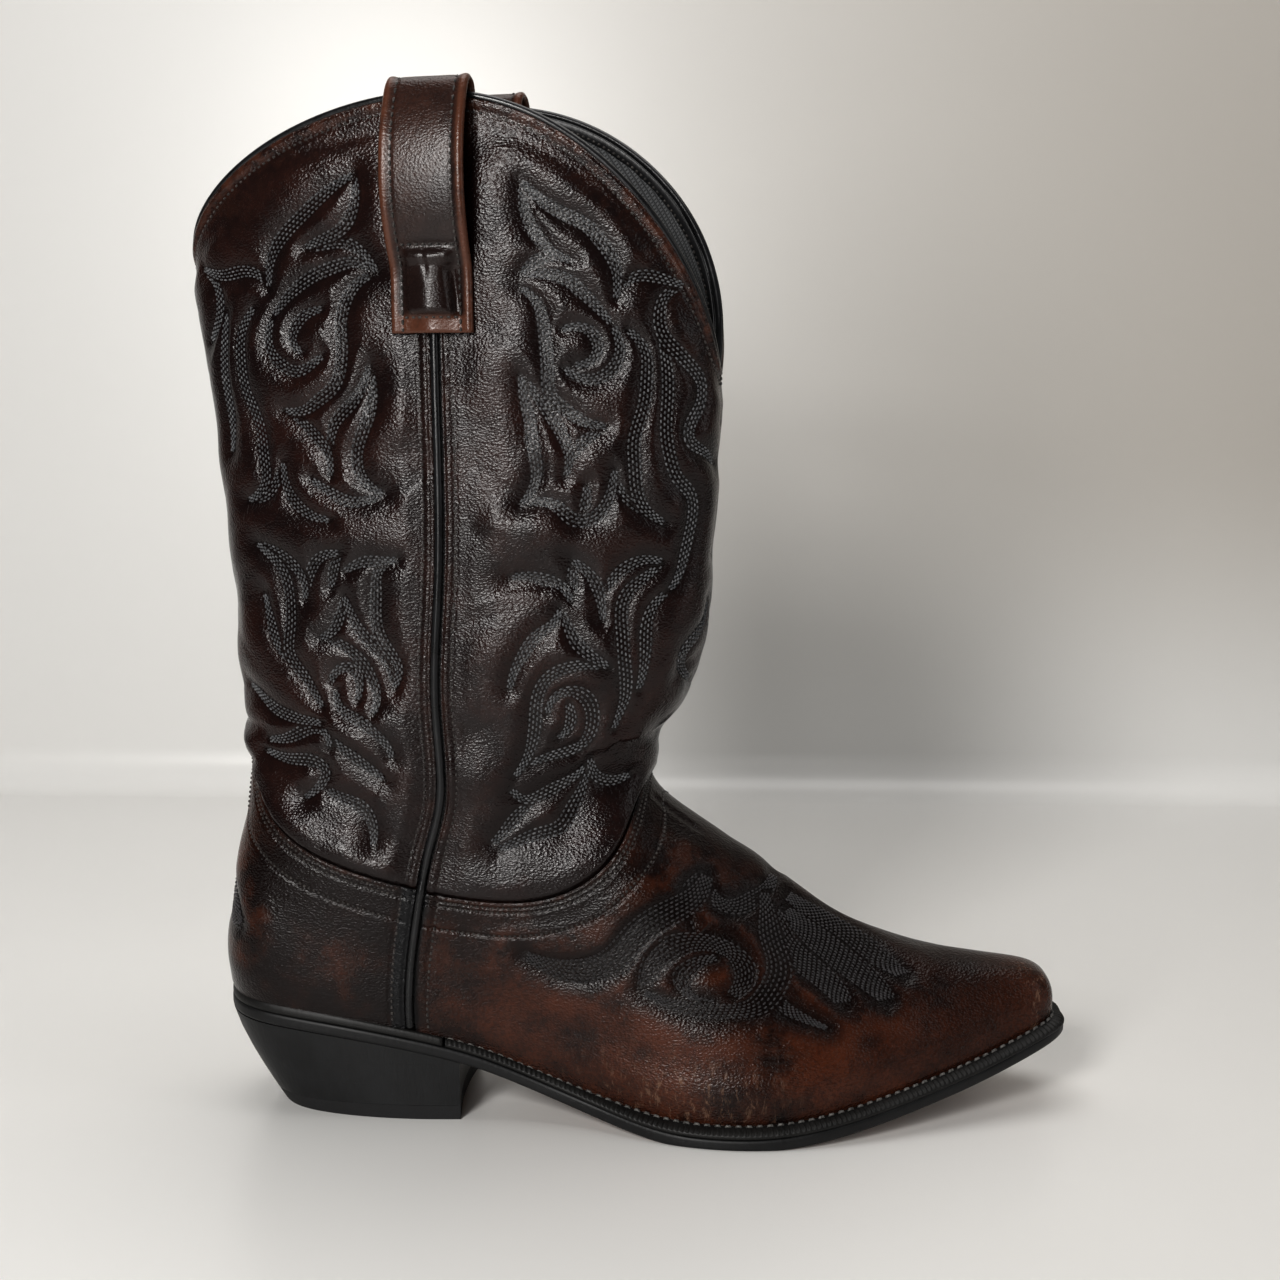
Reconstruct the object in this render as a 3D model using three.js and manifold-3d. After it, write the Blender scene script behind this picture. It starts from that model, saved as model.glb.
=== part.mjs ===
// A western riding boot for the right foot, built as the separate pieces a bootmaker cuts and assembles.
// Millimetres, +Z up, +X towards the toe, +Y towards the inner side of the foot (medial).
// The origin is on the floor, at the centre of the heel's bottom face.
import * as THREE from "three";
import { mergeVertices } from "three/addons/utils/BufferGeometryUtils.js";
import Module from "manifold-3d";

const wasm = await Module();
wasm.setup();

// ---------------------------------------------------------------- driving dimensions
const HEEL_CENTRE_X = 57; // from the back of the heel seat to the origin
const RIM_PEAKS = [362, 367.5]; // heights of the topline over the outer and the inner side seam
const RIM_FRONT_DIP = 272; // height of the topline at the front centre
const RIM_BACK_DIP = 311; // and at the back centre
const RIM_FRONT_FALLS = [1.3, 1]; // how soon the topline falls away in front, outer and inner side
const RIM_BACK_FALL = 1.45; // and behind
const SHAFT_ROUNDNESS = 0.82; // 1 is an ellipse, less is a fuller front and back
const PANEL = [-1.5, 0]; // depths of each layer from the shaft's outer face: inner face, outer face
const FOOT_COVER = [0.3, 1.8];
const STIFFENER = [-1.2, 0];
const LINING = [-2.7, -1.8];
const FOOT_LINING = [-1.2, -0.3]; // where no shaft panel or stiffener lies under the vamp
const LAP = 0.5; // how far a shaft panel runs on under the vamp or counter, in stations
const PIPING_R = 1.5;
const SEAM_GAP = 1.9; // from the seam line to the edge of a piece
const LASTING_MARGIN = 6; // width of the upper that is turned in under the insole
const COVER_T = 1.5;
const CLEAR = 0.3; // between touching pieces
const INSOLE_T = 3;
const INSOLE_BASE = 0.2; // its underside, above the feather line
const RIB = [6.9, 8.4]; // the insole's sewing rib: from and to, inwards from the feather line
const WELT_T = 3;
const OUTSOLE_T = 4.5;
const WELT_TOP = -(COVER_T + 2 * CLEAR); // heights from the feather line, downwards
const OUTSOLE_TOP = WELT_TOP - WELT_T - CLEAR;
const OUTSOLE_BOTTOM = OUTSOLE_TOP - OUTSOLE_T;
const WELT_START_X = 88;
const BREAST_X = 93; // the heel's front face
const LIFT_LEVELS = [5.5, 13.5, 21.5]; // tops of the flat lifts
const SHANK_X = [34, 158];
const SHANK_Y = 1;
const SHANK_HALF = 6.5;
const SHANK_T = 1.3;
const HEEL_TAPER = 0.09;
const HEEL_UNDERCUT = 19; // how far the heel's back leans in, from seat to floor
const HEEL_ROUNDING = 0.25; // how much narrower the back of the heel's base is than its breast
const STRAP_HALF_WIDTH = 14.5;
const STRAP_T = 2;
const FRONT_COLUMNS = 28; // how finely the leather pieces are divided
const BACK_COLUMNS = 18;
const COLUMN_CROWDING = 1.35;
const SHAFT_ROWS = 10;
const FRONT_ROWS = 6;
const BACK_ROWS = 2;
const LOW_ROWS = 5;
const PUFF_STATION = 8.2; // the toe puff's upper edge
const PUFF_SHARE = [9 / 28, 19 / 28]; // and its part of the front columns
const PUFF_ANGLE = 24;
const HEEL_SHARE = [3 / 18, 15 / 18];
const HEEL_ANGLE = 52;

// ---------------------------------------------------------------- the shape of the last and shaft
// Girth lines of the shaft, from above the topline down: height, then X at the back, the side seam and the
// front, then half width.
const SHAFT_LINES = [
  [376, -9.5, 94, 189.5, 32],
  [320, -9, 94, 189, 34],
  [260, -1, 94.5, 187, 36],
  [205, 3.7, 94.5, 183.5, 37.5],
  [160, 10, 92, 176, 38.5],
];
// Girth lines of the foot, from the throat down to the feather line. Each row is one direction round the
// boot, in degrees from the front centre, and holds X, half width and Z at each line.
const FOOT_ANGLES = [0, 5, 12, 30, 55, 90, 125, 155, 180];
const FOOT_ROWS = [
  [
    [160, 0, 125], [184, 0, 102.5], [212, 0, 81.5], [245, 0, 62],
    [281, 0, 53.5], [306, 0, 48], [310, 0],
  ],
  [
    [159.5, 5, 125], [183, 5.5, 102], [210.5, 7, 80.5], [243, 8.5, 60.5],
    [278, 9.5, 51.5], [304, 9.5, 46.5], [309, 9.5],
  ],
  [
    [158, 11, 125], [179, 13, 100], [203, 16.5, 77], [231, 20, 57],
    [262, 21, 44.5], [286, 18.5, 37.5], [291, 18.5],
  ],
  [
    [149, 23, 125.5], [162, 28, 98], [176, 33.5, 72], [192, 40, 49],
    [207, 44.5, 31], [215, 46.5, 21], [217, 45.5],
  ],
  [
    [127, 33, 126], [131, 34, 99], [135, 34.5, 74], [138.5, 35.5, 52],
    [141, 36, 34], [144, 36, 23], [146, 34],
  ],
  [
    [89, 37, 126], [84.5, 35.5, 104], [80.5, 33.5, 85], [77.5, 32, 67],
    [76, 31.5, 54], [75.5, 31, 44.5], [75.5, 29.5],
  ],
  [
    [44, 30, 127], [39, 30, 105], [35, 30, 86], [33, 30.5, 70.5],
    [32, 30.5, 58.5], [32, 30, 51], [32, 28.5],
  ],
  [
    [20.5, 15, 127.5], [16.5, 17, 106], [13.5, 18.5, 88], [12, 20, 73],
    [11, 20.5, 61.5], [10.5, 20.5, 54], [11.5, 19],
  ],
  [
    [14.5, 0, 128], [12.5, 0, 107], [9, 0, 89], [6.8, 0, 74],
    [5, 0, 63], [4.6, 0, 55], [5, 0],
  ],
];
// The feather line's height along the foot, where the upper meets the sole: X, Z.
const SEAT = [
  [0, 47], [35, 43.5], [76, 36.5], [100, 30], [125, 20.5], [150, 13], [170, 9.8], [188, 9.2], [205, 9.6],
  [223, 11.5], [240, 14.5], [262, 19.5], [287, 26.5], [310, 35.5],
];
const FEATHER = SHAFT_LINES.length + FOOT_ROWS[0].length - 1; // the last station's number
const TOE_SWING = 8; // how far the toe turns in towards the other foot
const LAST_LENGTH = 310;
const SHAFT_TWIST = 10.5; // degrees the shaft's top is turned outwards over the foot
const TWIST_X = 93;

// A natural cubic through points with increasing first coordinate.
function cubic(xs, ys) {
  const n = xs.length;
  const c = new Array(n).fill(0);
  const u = new Array(n).fill(0);
  for (let i = 1; i < n - 1; i++) {
    const s = (xs[i] - xs[i - 1]) / (xs[i + 1] - xs[i - 1]);
    const p = s * c[i - 1] + 2;
    const bend = (ys[i + 1] - ys[i]) / (xs[i + 1] - xs[i]) - (ys[i] - ys[i - 1]) / (xs[i] - xs[i - 1]);
    c[i] = (s - 1) / p;
    u[i] = ((6 * bend) / (xs[i + 1] - xs[i - 1]) - s * u[i - 1]) / p;
  }
  for (let i = n - 2; i >= 0; i--) c[i] = c[i] * c[i + 1] + u[i];
  return (x) => {
    let i = 0;
    while (i < n - 2 && x > xs[i + 1]) i++;
    const h = xs[i + 1] - xs[i];
    const a = (xs[i + 1] - x) / h;
    const b = (x - xs[i]) / h;
    return a * ys[i] + b * ys[i + 1] + (((a ** 3 - a) * c[i] + (b ** 3 - b) * c[i + 1]) * h * h) / 6;
  };
}

const seatHeight = cubic(SEAT.map((p) => p[0]), SEAT.map((p) => p[1]));
const rad = THREE.MathUtils.degToRad;

// Turns a point about the upright axis through the side seams.
function twisted(x, y, z, share) {
  const up = new THREE.Vector3(0, 0, 1);
  const p = new THREE.Vector3(x - TWIST_X, y, 0).applyAxisAngle(up, -rad(SHAFT_TWIST * share));
  return [p.x + TWIST_X, p.y, z];
}

// One girth line as points at the foot's angles, for one side: side is -1 outer, +1 inner.
function girthPoints(station, side) {
  const foot = station - SHAFT_LINES.length;
  return FOOT_ANGLES.map((angle, i) => {
    if (foot < 0) {
      const [z, back, seam, front, half] = SHAFT_LINES[station];
      const reach = angle < 90 ? front - seam : seam - back;
      const wide = Math.sin(rad(angle)) ** SHAFT_ROUNDNESS;
      return twisted(seam + reach * Math.cos(rad(angle)), side * half * wide, z, 1 - station / FEATHER);
    }
    let [x, y, z] = FOOT_ROWS[i][foot];
    const low = Math.min(1, foot / 4); // the two sides differ only low on the foot
    if (side > 0 && angle === 30) x += 8 * low; // the inner ball joint is further forward
    if (side > 0 && angle === 55) y *= 1 - 0.14 * low; // and the inner waist is cut in
    if (side > 0 && angle === 12) y *= 1 + 0.08 * low;
    if (z === undefined) z = seatHeight(x);
    else if (side > 0 && angle === 30) z += (seatHeight(x) - seatHeight(x - 8 * low)) * low;
    return [x, side * y + TOE_SWING * Math.max(0, x / LAST_LENGTH) ** 3 * low, z];
  });
}

// Splines round each girth line.
// Angles run from -180 (back) through 0 (front) to 180, and are negative on the outer side.
const WRAP = 3; // knots repeated past the back, so that the line closes smoothly
const girths = Array.from({ length: FEATHER + 1 }, (_, station) => {
  const outer = girthPoints(station, -1);
  const inner = girthPoints(station, 1);
  const ring = [];
  FOOT_ANGLES.forEach((angle, i) => {
    ring.push([-angle, outer[i]]);
    if (angle > 0 && angle < 180) ring.push([angle, inner[i]]);
  });
  ring.sort((p, q) => p[0] - q[0]);
  const before = ring.slice(-WRAP).map(([angle, p]) => [angle - 360, p]);
  const after = ring.slice(0, WRAP).map(([angle, p]) => [angle + 360, p]);
  const knots = [...before, ...ring, ...after];
  return [0, 1, 2].map((k) => cubic(knots.map((p) => p[0]), knots.map((p) => p[1][k])));
});
const STATIONS = girths.map((_, i) => i);

// The point of the boot's base surface at an angle and station, and its outward normal.
function meridian(angle) {
  const wrapped = angle > 180 ? angle - 360 : angle < -180 ? angle + 360 : angle;
  const knots = girths.map((g) => g.map((line) => line(wrapped)));
  knots[FEATHER][2] = seatHeight(knots[FEATHER][0]);
  const lines = [0, 1, 2].map((k) => cubic(STATIONS, knots.map((p) => p[k])));
  return (station) => new THREE.Vector3(lines[0](station), lines[1](station), lines[2](station));
}
const meridians = new Map();
function surface(angle, station) {
  const key = angle.toFixed(5);
  if (!meridians.has(key)) meridians.set(key, meridian(angle));
  return meridians.get(key)(station);
}
const STEP = 0.05;
function normalAt(angle, station) {
  const round = surface(angle + STEP * 10, station).sub(surface(angle - STEP * 10, station));
  const down = surface(angle, Math.min(FEATHER, station + STEP)).sub(surface(angle, station - STEP));
  return down.cross(round).normalize();
}
function at(angle, station, depth) {
  return surface(angle, station).addScaledVector(normalAt(angle, station), depth);
}

// The station at which the shaft has a given height, which is the same at every angle.
function shaftStation(height) {
  let low = 0;
  let high = SHAFT_LINES.length;
  for (let i = 0; i < 30; i++) {
    const middle = (low + high) / 2;
    if (surface(90, middle).z > height) low = middle;
    else high = middle;
  }
  return (low + high) / 2;
}
function rimHeight(angle) {
  const side = Math.sin(rad(angle)) < 0 ? 0 : 1;
  const front = Math.cos(rad(angle)) > 0;
  const dip = front ? RIM_FRONT_DIP : RIM_BACK_DIP;
  const fall = front ? RIM_FRONT_FALLS[side] : RIM_BACK_FALL;
  return dip + (RIM_PEAKS[side] - dip) * Math.abs(Math.sin(rad(angle))) ** fall;
}
const rimStation = (angle) => shaftStation(rimHeight(angle));

// The top edge of the vamp and of the counter: a tall tongue in front, a lower peak behind.
const VAMP_SIDE = 6.9; // stations of the edges at the side seams
const COUNTER_SIDE = 6.85;
const TONGUE_RISE = 1.95;
const COUNTER_RISE = 1.55;
const PEAK_RISE = 0.6;
function coverTop(angle) {
  const c = Math.cos(rad(angle));
  if (c > 0) return VAMP_SIDE - TONGUE_RISE * c ** 2.6;
  return COUNTER_SIDE - COUNTER_RISE * (-c) ** 1.5 - PEAK_RISE * (-c) ** 8;
}
// How many degrees a distance along the surface covers at a seam.
function degreesFor(distance, angle, station) {
  return distance / surface(angle + 0.5, station).distanceTo(surface(angle - 0.5, station));
}

// ---------------------------------------------------------------- geometry helpers
const mix = (a, b, t) => a + (b - a) * t;
const smooth = (t) => THREE.MathUtils.smoothstep(t, 0, 1);

// A BufferGeometry from points and quads or triangles, turned so that its faces point out.
function solidFrom(points, faces) {
  const triangles = [];
  for (const f of faces) {
    triangles.push([f[0], f[1], f[2]]);
    if (f.length === 4) triangles.push([f[0], f[2], f[3]]);
  }
  let volume = 0;
  for (const [a, b, c] of triangles) volume += points[a].dot(points[b].clone().cross(points[c]));
  if (volume < 0) triangles.forEach((t) => t.reverse());
  const g = new THREE.BufferGeometry();
  g.setAttribute("position", new THREE.Float32BufferAttribute(points.flatMap((p) => p.toArray()), 3));
  g.setIndex(triangles.flat());
  return g;
}

// A closed solid between two grids of points with the same layout. Rows run round, columns run down.
function between(outer, inner) {
  const rows = outer.length;
  const columns = outer[0].length;
  const points = [...outer.flat(), ...inner.flat()];
  const id = (layer, i, j) => layer * rows * columns + i * columns + j;
  const faces = [];
  for (let i = 0; i < rows - 1; i++)
    for (let j = 0; j < columns - 1; j++) {
      faces.push([id(0, i, j), id(0, i, j + 1), id(0, i + 1, j + 1), id(0, i + 1, j)]);
      faces.push([id(1, i, j), id(1, i + 1, j), id(1, i + 1, j + 1), id(1, i, j + 1)]);
    }
  for (let i = 0; i < rows - 1; i++)
    for (const [j, flip] of [[0, false], [columns - 1, true]]) {
      const f = [id(0, i, j), id(0, i + 1, j), id(1, i + 1, j), id(1, i, j)];
      faces.push(flip ? f.reverse() : f);
    }
  for (let j = 0; j < columns - 1; j++)
    for (const [i, flip] of [[0, true], [rows - 1, false]]) {
      const f = [id(0, i, j), id(0, i, j + 1), id(1, i, j + 1), id(1, i, j)];
      faces.push(flip ? f.reverse() : f);
    }
  return solidFrom(points, faces);
}

// A layer of leather over part of the surface. The angles run from one side seam to the other round the
// front or the back, rows lists the stations at an angle, and depths gives the inner and outer depth there.
function layer({ front, gap = SEAM_GAP, rows, depths, first = 0, last = 1, margin = 0 }) {
  const outer = [];
  const inner = [];
  const count = front ? FRONT_COLUMNS : BACK_COLUMNS;
  for (let i = Math.round(first * count); i <= Math.round(last * count); i++) {
    const line = rows(columnAngle(front, i / count, 0, gap));
    const places = line.map((station) => [columnAngle(front, i / count, station, gap), station]);
    const a = places.map(([angle, station]) => at(angle, station, depths(angle, station)[1]));
    const b = places.map(([angle, station]) => at(angle, station, depths(angle, station)[0]));
    if (margin) turnIn(a, b, columnAngle(front, i / count, FEATHER, gap), margin);
    outer.push(a);
    inner.push(b);
  }
  return between(outer, inner);
}
// The angle of one column of a front or back piece, with room for the side piping at both edges.
// The columns crowd towards the middle, where the boot is most sharply rounded.
function columnAngle(front, share, station, gap) {
  const left = degreesFor(gap, -90, station);
  const right = degreesFor(gap, 90, station);
  const t = 2 * share - 1;
  const spread = (1 + Math.sign(t) * Math.abs(t) ** COLUMN_CROWDING) / 2;
  return front ? mix(-90 + left, 90 - right, spread) : mix(90 + right, 270 - left, spread);
}
// Stations from one to another in even steps.
const even = (from, to, steps) => Array.from({ length: steps + 1 }, (_, i) => mix(from, to, i / steps));

// Adds the lasting margin: the layer turns in under the foot, along the inside of the feather line.
function turnIn(outer, inner, angle, margin) {
  const inward = featherInward(angle);
  const o = outer[outer.length - 1];
  const i = inner[inner.length - 1];
  const drop = (p, reach, height) => {
    const q = p.clone().addScaledVector(inward, reach);
    q.z = seatHeight(q.x) + height;
    return q;
  };
  outer.push(drop(o, 0.4, -COVER_T - CLEAR), drop(i, margin, -COVER_T - CLEAR));
  inner.push(drop(i, 0.2, -CLEAR), drop(i, margin, -CLEAR));
}
const FOOT_MIDDLE_X = 75;
function featherInward(angle) {
  const along = surface(angle + 1, FEATHER).sub(surface(angle - 1, FEATHER));
  const n = new THREE.Vector3(-along.y, along.x, 0).normalize();
  const edge = surface(angle, FEATHER);
  const toCentre = new THREE.Vector3(edge.x * 0.4 + FOOT_MIDDLE_X, 2, 0).sub(edge);
  return n.dot(toCentre) < 0 ? n.negate() : n;
}

// A round cord along a path of points, as one closed tube.
function tube(path, radius, sides, steps) {
  const section = new THREE.Shape(
    Array.from({ length: sides }, (_, i) => {
      const a = (i / sides) * 2 * Math.PI;
      return new THREE.Vector2(radius * Math.cos(a), radius * Math.sin(a));
    }),
  );
  const curve = new THREE.CatmullRomCurve3(path);
  return new THREE.ExtrudeGeometry(section, { steps, bevelEnabled: false, extrudePath: curve });
}

// The outline of the upper at the feather line, moved out by a distance that may change along the foot.
function outlinePoint(angle, out) {
  const p = surface(angle, FEATHER);
  const distance = typeof out === "function" ? out(p.x) : out;
  return p.addScaledVector(featherInward(angle), -distance);
}
// The two edges of a bottom piece between two X positions, as pairs of points across the foot.
function crossPairs(out, startX, endX, count) {
  const pairs = [];
  const angleAt = (x, side) => {
    let near = 0;
    let far = 180;
    for (let i = 0; i < 40; i++) {
      const middle = (near + far) / 2;
      if (outlinePoint(side * middle, out).x > x) near = middle;
      else far = middle;
    }
    return (side * (near + far)) / 2;
  };
  for (let k = 0; k <= count; k++) {
    const x = mix(startX, endX, (1 - Math.cos((Math.PI * k) / count)) / 2);
    pairs.push([-1, 1].map((side) => outlinePoint(angleAt(x, side), out)));
  }
  return pairs;
}
// A sheet that follows the seat curve, between an upper and a lower height.
function plate(pairs, upper, lower) {
  const grid = (height) => pairs.map((pair) => pair.map((p) => new THREE.Vector3(p.x, p.y, height(p.x))));
  return between(grid(upper), grid(lower));
}
const overSeat = (height) => (x) => seatHeight(x) + height;

// ---------------------------------------------------------------- boolean cuts
function toManifold(geometry) {
  const g = geometry.clone();
  for (const name of ["normal", "uv"]) g.deleteAttribute(name);
  const merged = mergeVertices(g, 1e-3);
  return new wasm.Manifold(
    new wasm.Mesh({
      numProp: 3,
      vertProperties: new Float32Array(merged.attributes.position.array),
      triVerts: new Uint32Array(merged.index.array),
    }),
  );
}
function toGeometry(solid) {
  const mesh = solid.getMesh();
  const g = new THREE.BufferGeometry();
  g.setAttribute("position", new THREE.Float32BufferAttribute(mesh.vertProperties, 3));
  g.setIndex(Array.from(mesh.triVerts));
  return g;
}
const cut = (geometry, tools) =>
  toGeometry(tools.reduce((solid, tool) => solid.subtract(toManifold(tool)), toManifold(geometry)));

// ---------------------------------------------------------------- the boot
const boot = new THREE.Group();
boot.name = "western_boot";
boot.position.x = -HEEL_CENTRE_X;

const finishes = {
  shaft_leather: [0x3a2420, 0.38, 0],
  foot_leather: [0x4a2318, 0.34, 0],
  strap_leather: [0x5a3226, 0.4, 0],
  black_piping: [0x0d0d0e, 0.3, 0],
  lining: [0x34363a, 0.85, 0],
  stiffener: [0x8a7a62, 0.8, 0],
  insole_board: [0x8c6f4e, 0.8, 0],
  welt: [0x17181a, 0.5, 0],
  sole_leather: [0x6b4020, 0.6, 0],
  heel: [0x1b1d20, 0.5, 0],
  rubber: [0x18191b, 0.7, 0],
  cork: [0x8a5f3a, 0.9, 0],
  steel: [0x9a9da1, 0.35, 0.9],
};
const materials = Object.fromEntries(
  Object.entries(finishes).map(([name, [color, roughness, metalness]]) => [
    name,
    new THREE.MeshStandardMaterial({ name, color, roughness, metalness }),
  ]),
);
function add(name, geometry, finish) {
  const mesh = new THREE.Mesh(geometry, materials[finish]);
  mesh.name = name;
  boot.add(mesh);
}

// Rows of a shaft piece, with one row on the upper edge of the vamp or counter that laps it.
const shaftRows = (angle) => [
  ...even(rimStation(angle), coverTop(angle), SHAFT_ROWS),
  coverTop(angle) + LAP,
];
// Rows of a foot piece below the shaft's edge, with one row on the toe puff's edge.
const lowerRows = (angle, steps) => [
  ...even(coverTop(angle) + LAP, PUFF_STATION, steps),
  ...even(PUFF_STATION, FEATHER, LOW_ROWS).slice(1),
];
const footRows = (front) => (angle) => lowerRows(angle, front ? FRONT_ROWS : BACK_ROWS);
const SHORT_OF_FEATHER = 0.03; // stations by which an inner layer stops above the feather line
const upToFeather = (rows) => [...rows.slice(0, -1), FEATHER - SHORT_OF_FEATHER];

function shaftPieces() {
  for (const [name, front] of [["front", true], ["back", false]]) {
    add(`${name}_shaft_panel`, layer({ front, rows: shaftRows, depths: () => PANEL }), "shaft_leather");
    const lining = layer({ front, gap: CLEAR, rows: shaftRows, depths: () => LINING });
    add(`${name}_shaft_lining`, lining, "lining");
  }
}

// The vamp and the counter cover lie over the lower edges of the shaft panels.
function footCovers() {
  for (const [name, front] of [["vamp", true], ["counter_cover", false]]) {
    const rows = (angle) => [coverTop(angle), ...footRows(front)(angle)];
    add(name, layer({ front, rows, depths: () => FOOT_COVER, margin: LASTING_MARGIN }), "foot_leather");
  }
}

// Stiffeners between cover and lining: the toe puff and the heel stiffener.
function stiffeners() {
  const puff = () => upToFeather(even(PUFF_STATION, FEATHER, LOW_ROWS));
  const [first, last] = PUFF_SHARE;
  add("toe_puff", layer({ front: true, rows: puff, depths: () => STIFFENER, first, last }), "stiffener");
  const heel = (angle) => {
    const rows = footRows(false)(angle);
    return upToFeather([rows[0] + 0.1, ...rows.slice(1)]);
  };
  const [start, end] = HEEL_SHARE;
  const stiffener = layer({ front: false, rows: heel, depths: () => STIFFENER, first: start, last: end });
  add("heel_stiffener", stiffener, "stiffener");
}

// The foot's lining lies deep under the stiffeners and close under the vamp between them.
function footLiningDepths(angle, station) {
  const lap = 1 - smooth((station - coverTop(angle) - LAP - 0.1) / 0.5);
  const overPuff = smooth((station - PUFF_STATION + 0.7) / 0.5);
  const puff = overPuff * (1 - smooth((Math.abs(angle) - PUFF_ANGLE) / 8));
  const fromBack = Math.abs(((angle + 360) % 360) - 180);
  const heel = 1 - smooth((fromBack - HEEL_ANGLE) / 10);
  const deep = Math.max(lap, puff, heel);
  return [mix(FOOT_LINING[0], LINING[0], deep), mix(FOOT_LINING[1], LINING[1], deep)];
}
function footLinings() {
  for (const [name, front] of [["vamp_lining", true], ["heel_lining", false]]) {
    const rows = (angle) => {
      const line = footRows(front)(angle);
      return upToFeather([line[0] + 0.06, ...line.slice(1)]);
    };
    add(name, layer({ front, gap: CLEAR, rows, depths: footLiningDepths }), "lining");
  }
}

// Piping in the two side seams, from under the topline bead down to the welt.
function sidePipings() {
  for (const [name, angle] of [["lateral", -90], ["medial", 90]]) {
    const path = [];
    const start = shaftStation(rimHeight(angle) - 1);
    const steps = 24;
    for (let i = 0; i <= steps; i++) {
      const station = mix(start, FEATHER - 0.05, i / steps);
      const onFoot = smooth((station - COUNTER_SIDE + 0.3) / 0.4);
      path.push(at(angle, station, mix(0, PIPING_R, onFoot)));
    }
    add(`${name}_side_piping`, tube(path, PIPING_R, 8, 36), "black_piping");
  }
}

// The bead that covers the raw top edges of panels and linings. It stops under each pull strap.
function toplineBeads() {
  for (const [name, front] of [["front", true], ["back", false]]) {
    const path = [];
    const steps = 32;
    for (let i = 0; i <= steps; i++) {
      const angle = columnAngle(front, i / steps, 0, 1);
      path.push(at(angle, rimStation(angle), (LINING[0] + PANEL[1]) / 2).add(rimUp(angle, 1.4 + CLEAR)));
    }
    add(`${name}_topline_bead`, tube(path, 1.3, 6, 40), "black_piping");
  }
}
// A vector of some length along the shaft's surface, square to the topline.
function rimUp(angle, length) {
  const here = surface(angle, rimStation(angle));
  const [before, after] = [angle - 1, angle + 1].map((a) => surface(a, rimStation(a)));
  const along = after.sub(before).normalize();
  const up = surface(angle, rimStation(angle) - 0.1).sub(here);
  return up.addScaledVector(along, -up.dot(along)).setLength(length);
}

// A pull strap: sewn flat outside low down, standing off as a finger loop, then over the topline
// and down inside.
// Its middle line is a path of depth from the shaft's outer face and height.
const STRAP_PATH = [
  [3.05, 283], [3.05, 306], [7.6, 318], [10.5, 333], [9.4, 348.5], [5.6, 361], [0.6, 367.4], [-3.4, 366.2],
  [-4.9, 360.8], [-4.3, 343], [-4.05, 304],
];
const STRAP_LOOP_BASE = 300; // above it, the inner strap is longer, to reach its higher topline
const STRAP_TUCK = 1.5; // how far its sides dip beside the piping, where it is sewn down
const STRAP_SEWN = 312; // up to this height
function pullStraps() {
  for (const [name, centre] of [["lateral", -90], ["medial", 90]]) {
    const extra = rimHeight(centre) - RIM_PEAKS[0];
    const raise = (z) => z + extra * smooth((z - STRAP_LOOP_BASE) / 30);
    const path = STRAP_PATH.map(([depth, z]) => new THREE.Vector3(depth, raise(z), 0));
    const line = new THREE.CatmullRomCurve3(path);
    const steps = 30;
    const outer = [];
    const inner = [];
    for (const share of [-1, -0.5, 0, 0.5, 1]) {
      const a = [];
      const b = [];
      for (let j = 0; j <= steps; j++) {
        const p = line.getPointAt(j / steps);
        const t = line.getTangentAt(j / steps);
        for (const [list, half] of [[a, -STRAP_T / 2], [b, STRAP_T / 2]]) {
          const sewn = p.x > 0 ? 1 - smooth((p.y - STRAP_SEWN + 12) / 12) : 0;
          const depth = p.x - t.y * half - (share === 0 ? 0 : STRAP_TUCK * sewn);
          const height = p.y + t.x * half;
          const station = shaftStation(height);
          const angle = centre + share * degreesFor(STRAP_HALF_WIDTH, centre, station);
          list.push(at(angle, station, depth));
        }
      }
      outer.push(a);
      inner.push(b);
    }
    add(`${name}_pull_strap`, between(outer, inner), "strap_leather");
  }
}

// ---------------------------------------------------------------- the bottom
const insoleEdge = (x) => -(3.6 + 0.4 * smooth((x - 250) / 40));
// How far the welt and outsole stand out from the upper.
function soleEdge(x) {
  const fore = smooth((x - 120) / 60);
  return mix(mix(1.4, 2.6, smooth((x - 40) / 60)), 6, fore);
}
const NAIL_R = 1.2;
const NAIL_SPOTS = [[28, -14], [28, 14], [46, -19], [46, 19], [66, -19], [66, 19]];
const LIFT_NAIL_SPOTS = [[38, 0], [56, -20], [56, 20], [84, -18], [84, 18]];
const NAIL_TIP_Z = 12; // tips of the nails driven down
const LIFT_NAIL_TIP_Z = 17; // and of those driven up
const LIFT_NAIL_HEAD_Z = 0.4;

function nailHoles(spots) {
  return spots.map(([x, y]) => {
    const hole = new THREE.CylinderGeometry(NAIL_R + CLEAR, NAIL_R + CLEAR, 120, 8);
    return hole.rotateX(Math.PI / 2).translate(x, y, 40);
  });
}
// A steel nail along Z, from its tip's height to its head's height, which may be lower.
const NAIL_TIP = 1.5;
function nail(x, y, tip, head) {
  const depth = Math.abs(head - tip);
  const profile = [[0, 0], [NAIL_R, NAIL_TIP], [NAIL_R, depth], [0, depth]];
  const g = new THREE.LatheGeometry(profile.map(([r, z]) => new THREE.Vector2(r, z)), 8);
  g.rotateX(head > tip ? Math.PI / 2 : -Math.PI / 2);
  return g.translate(x, y, tip);
}

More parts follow.
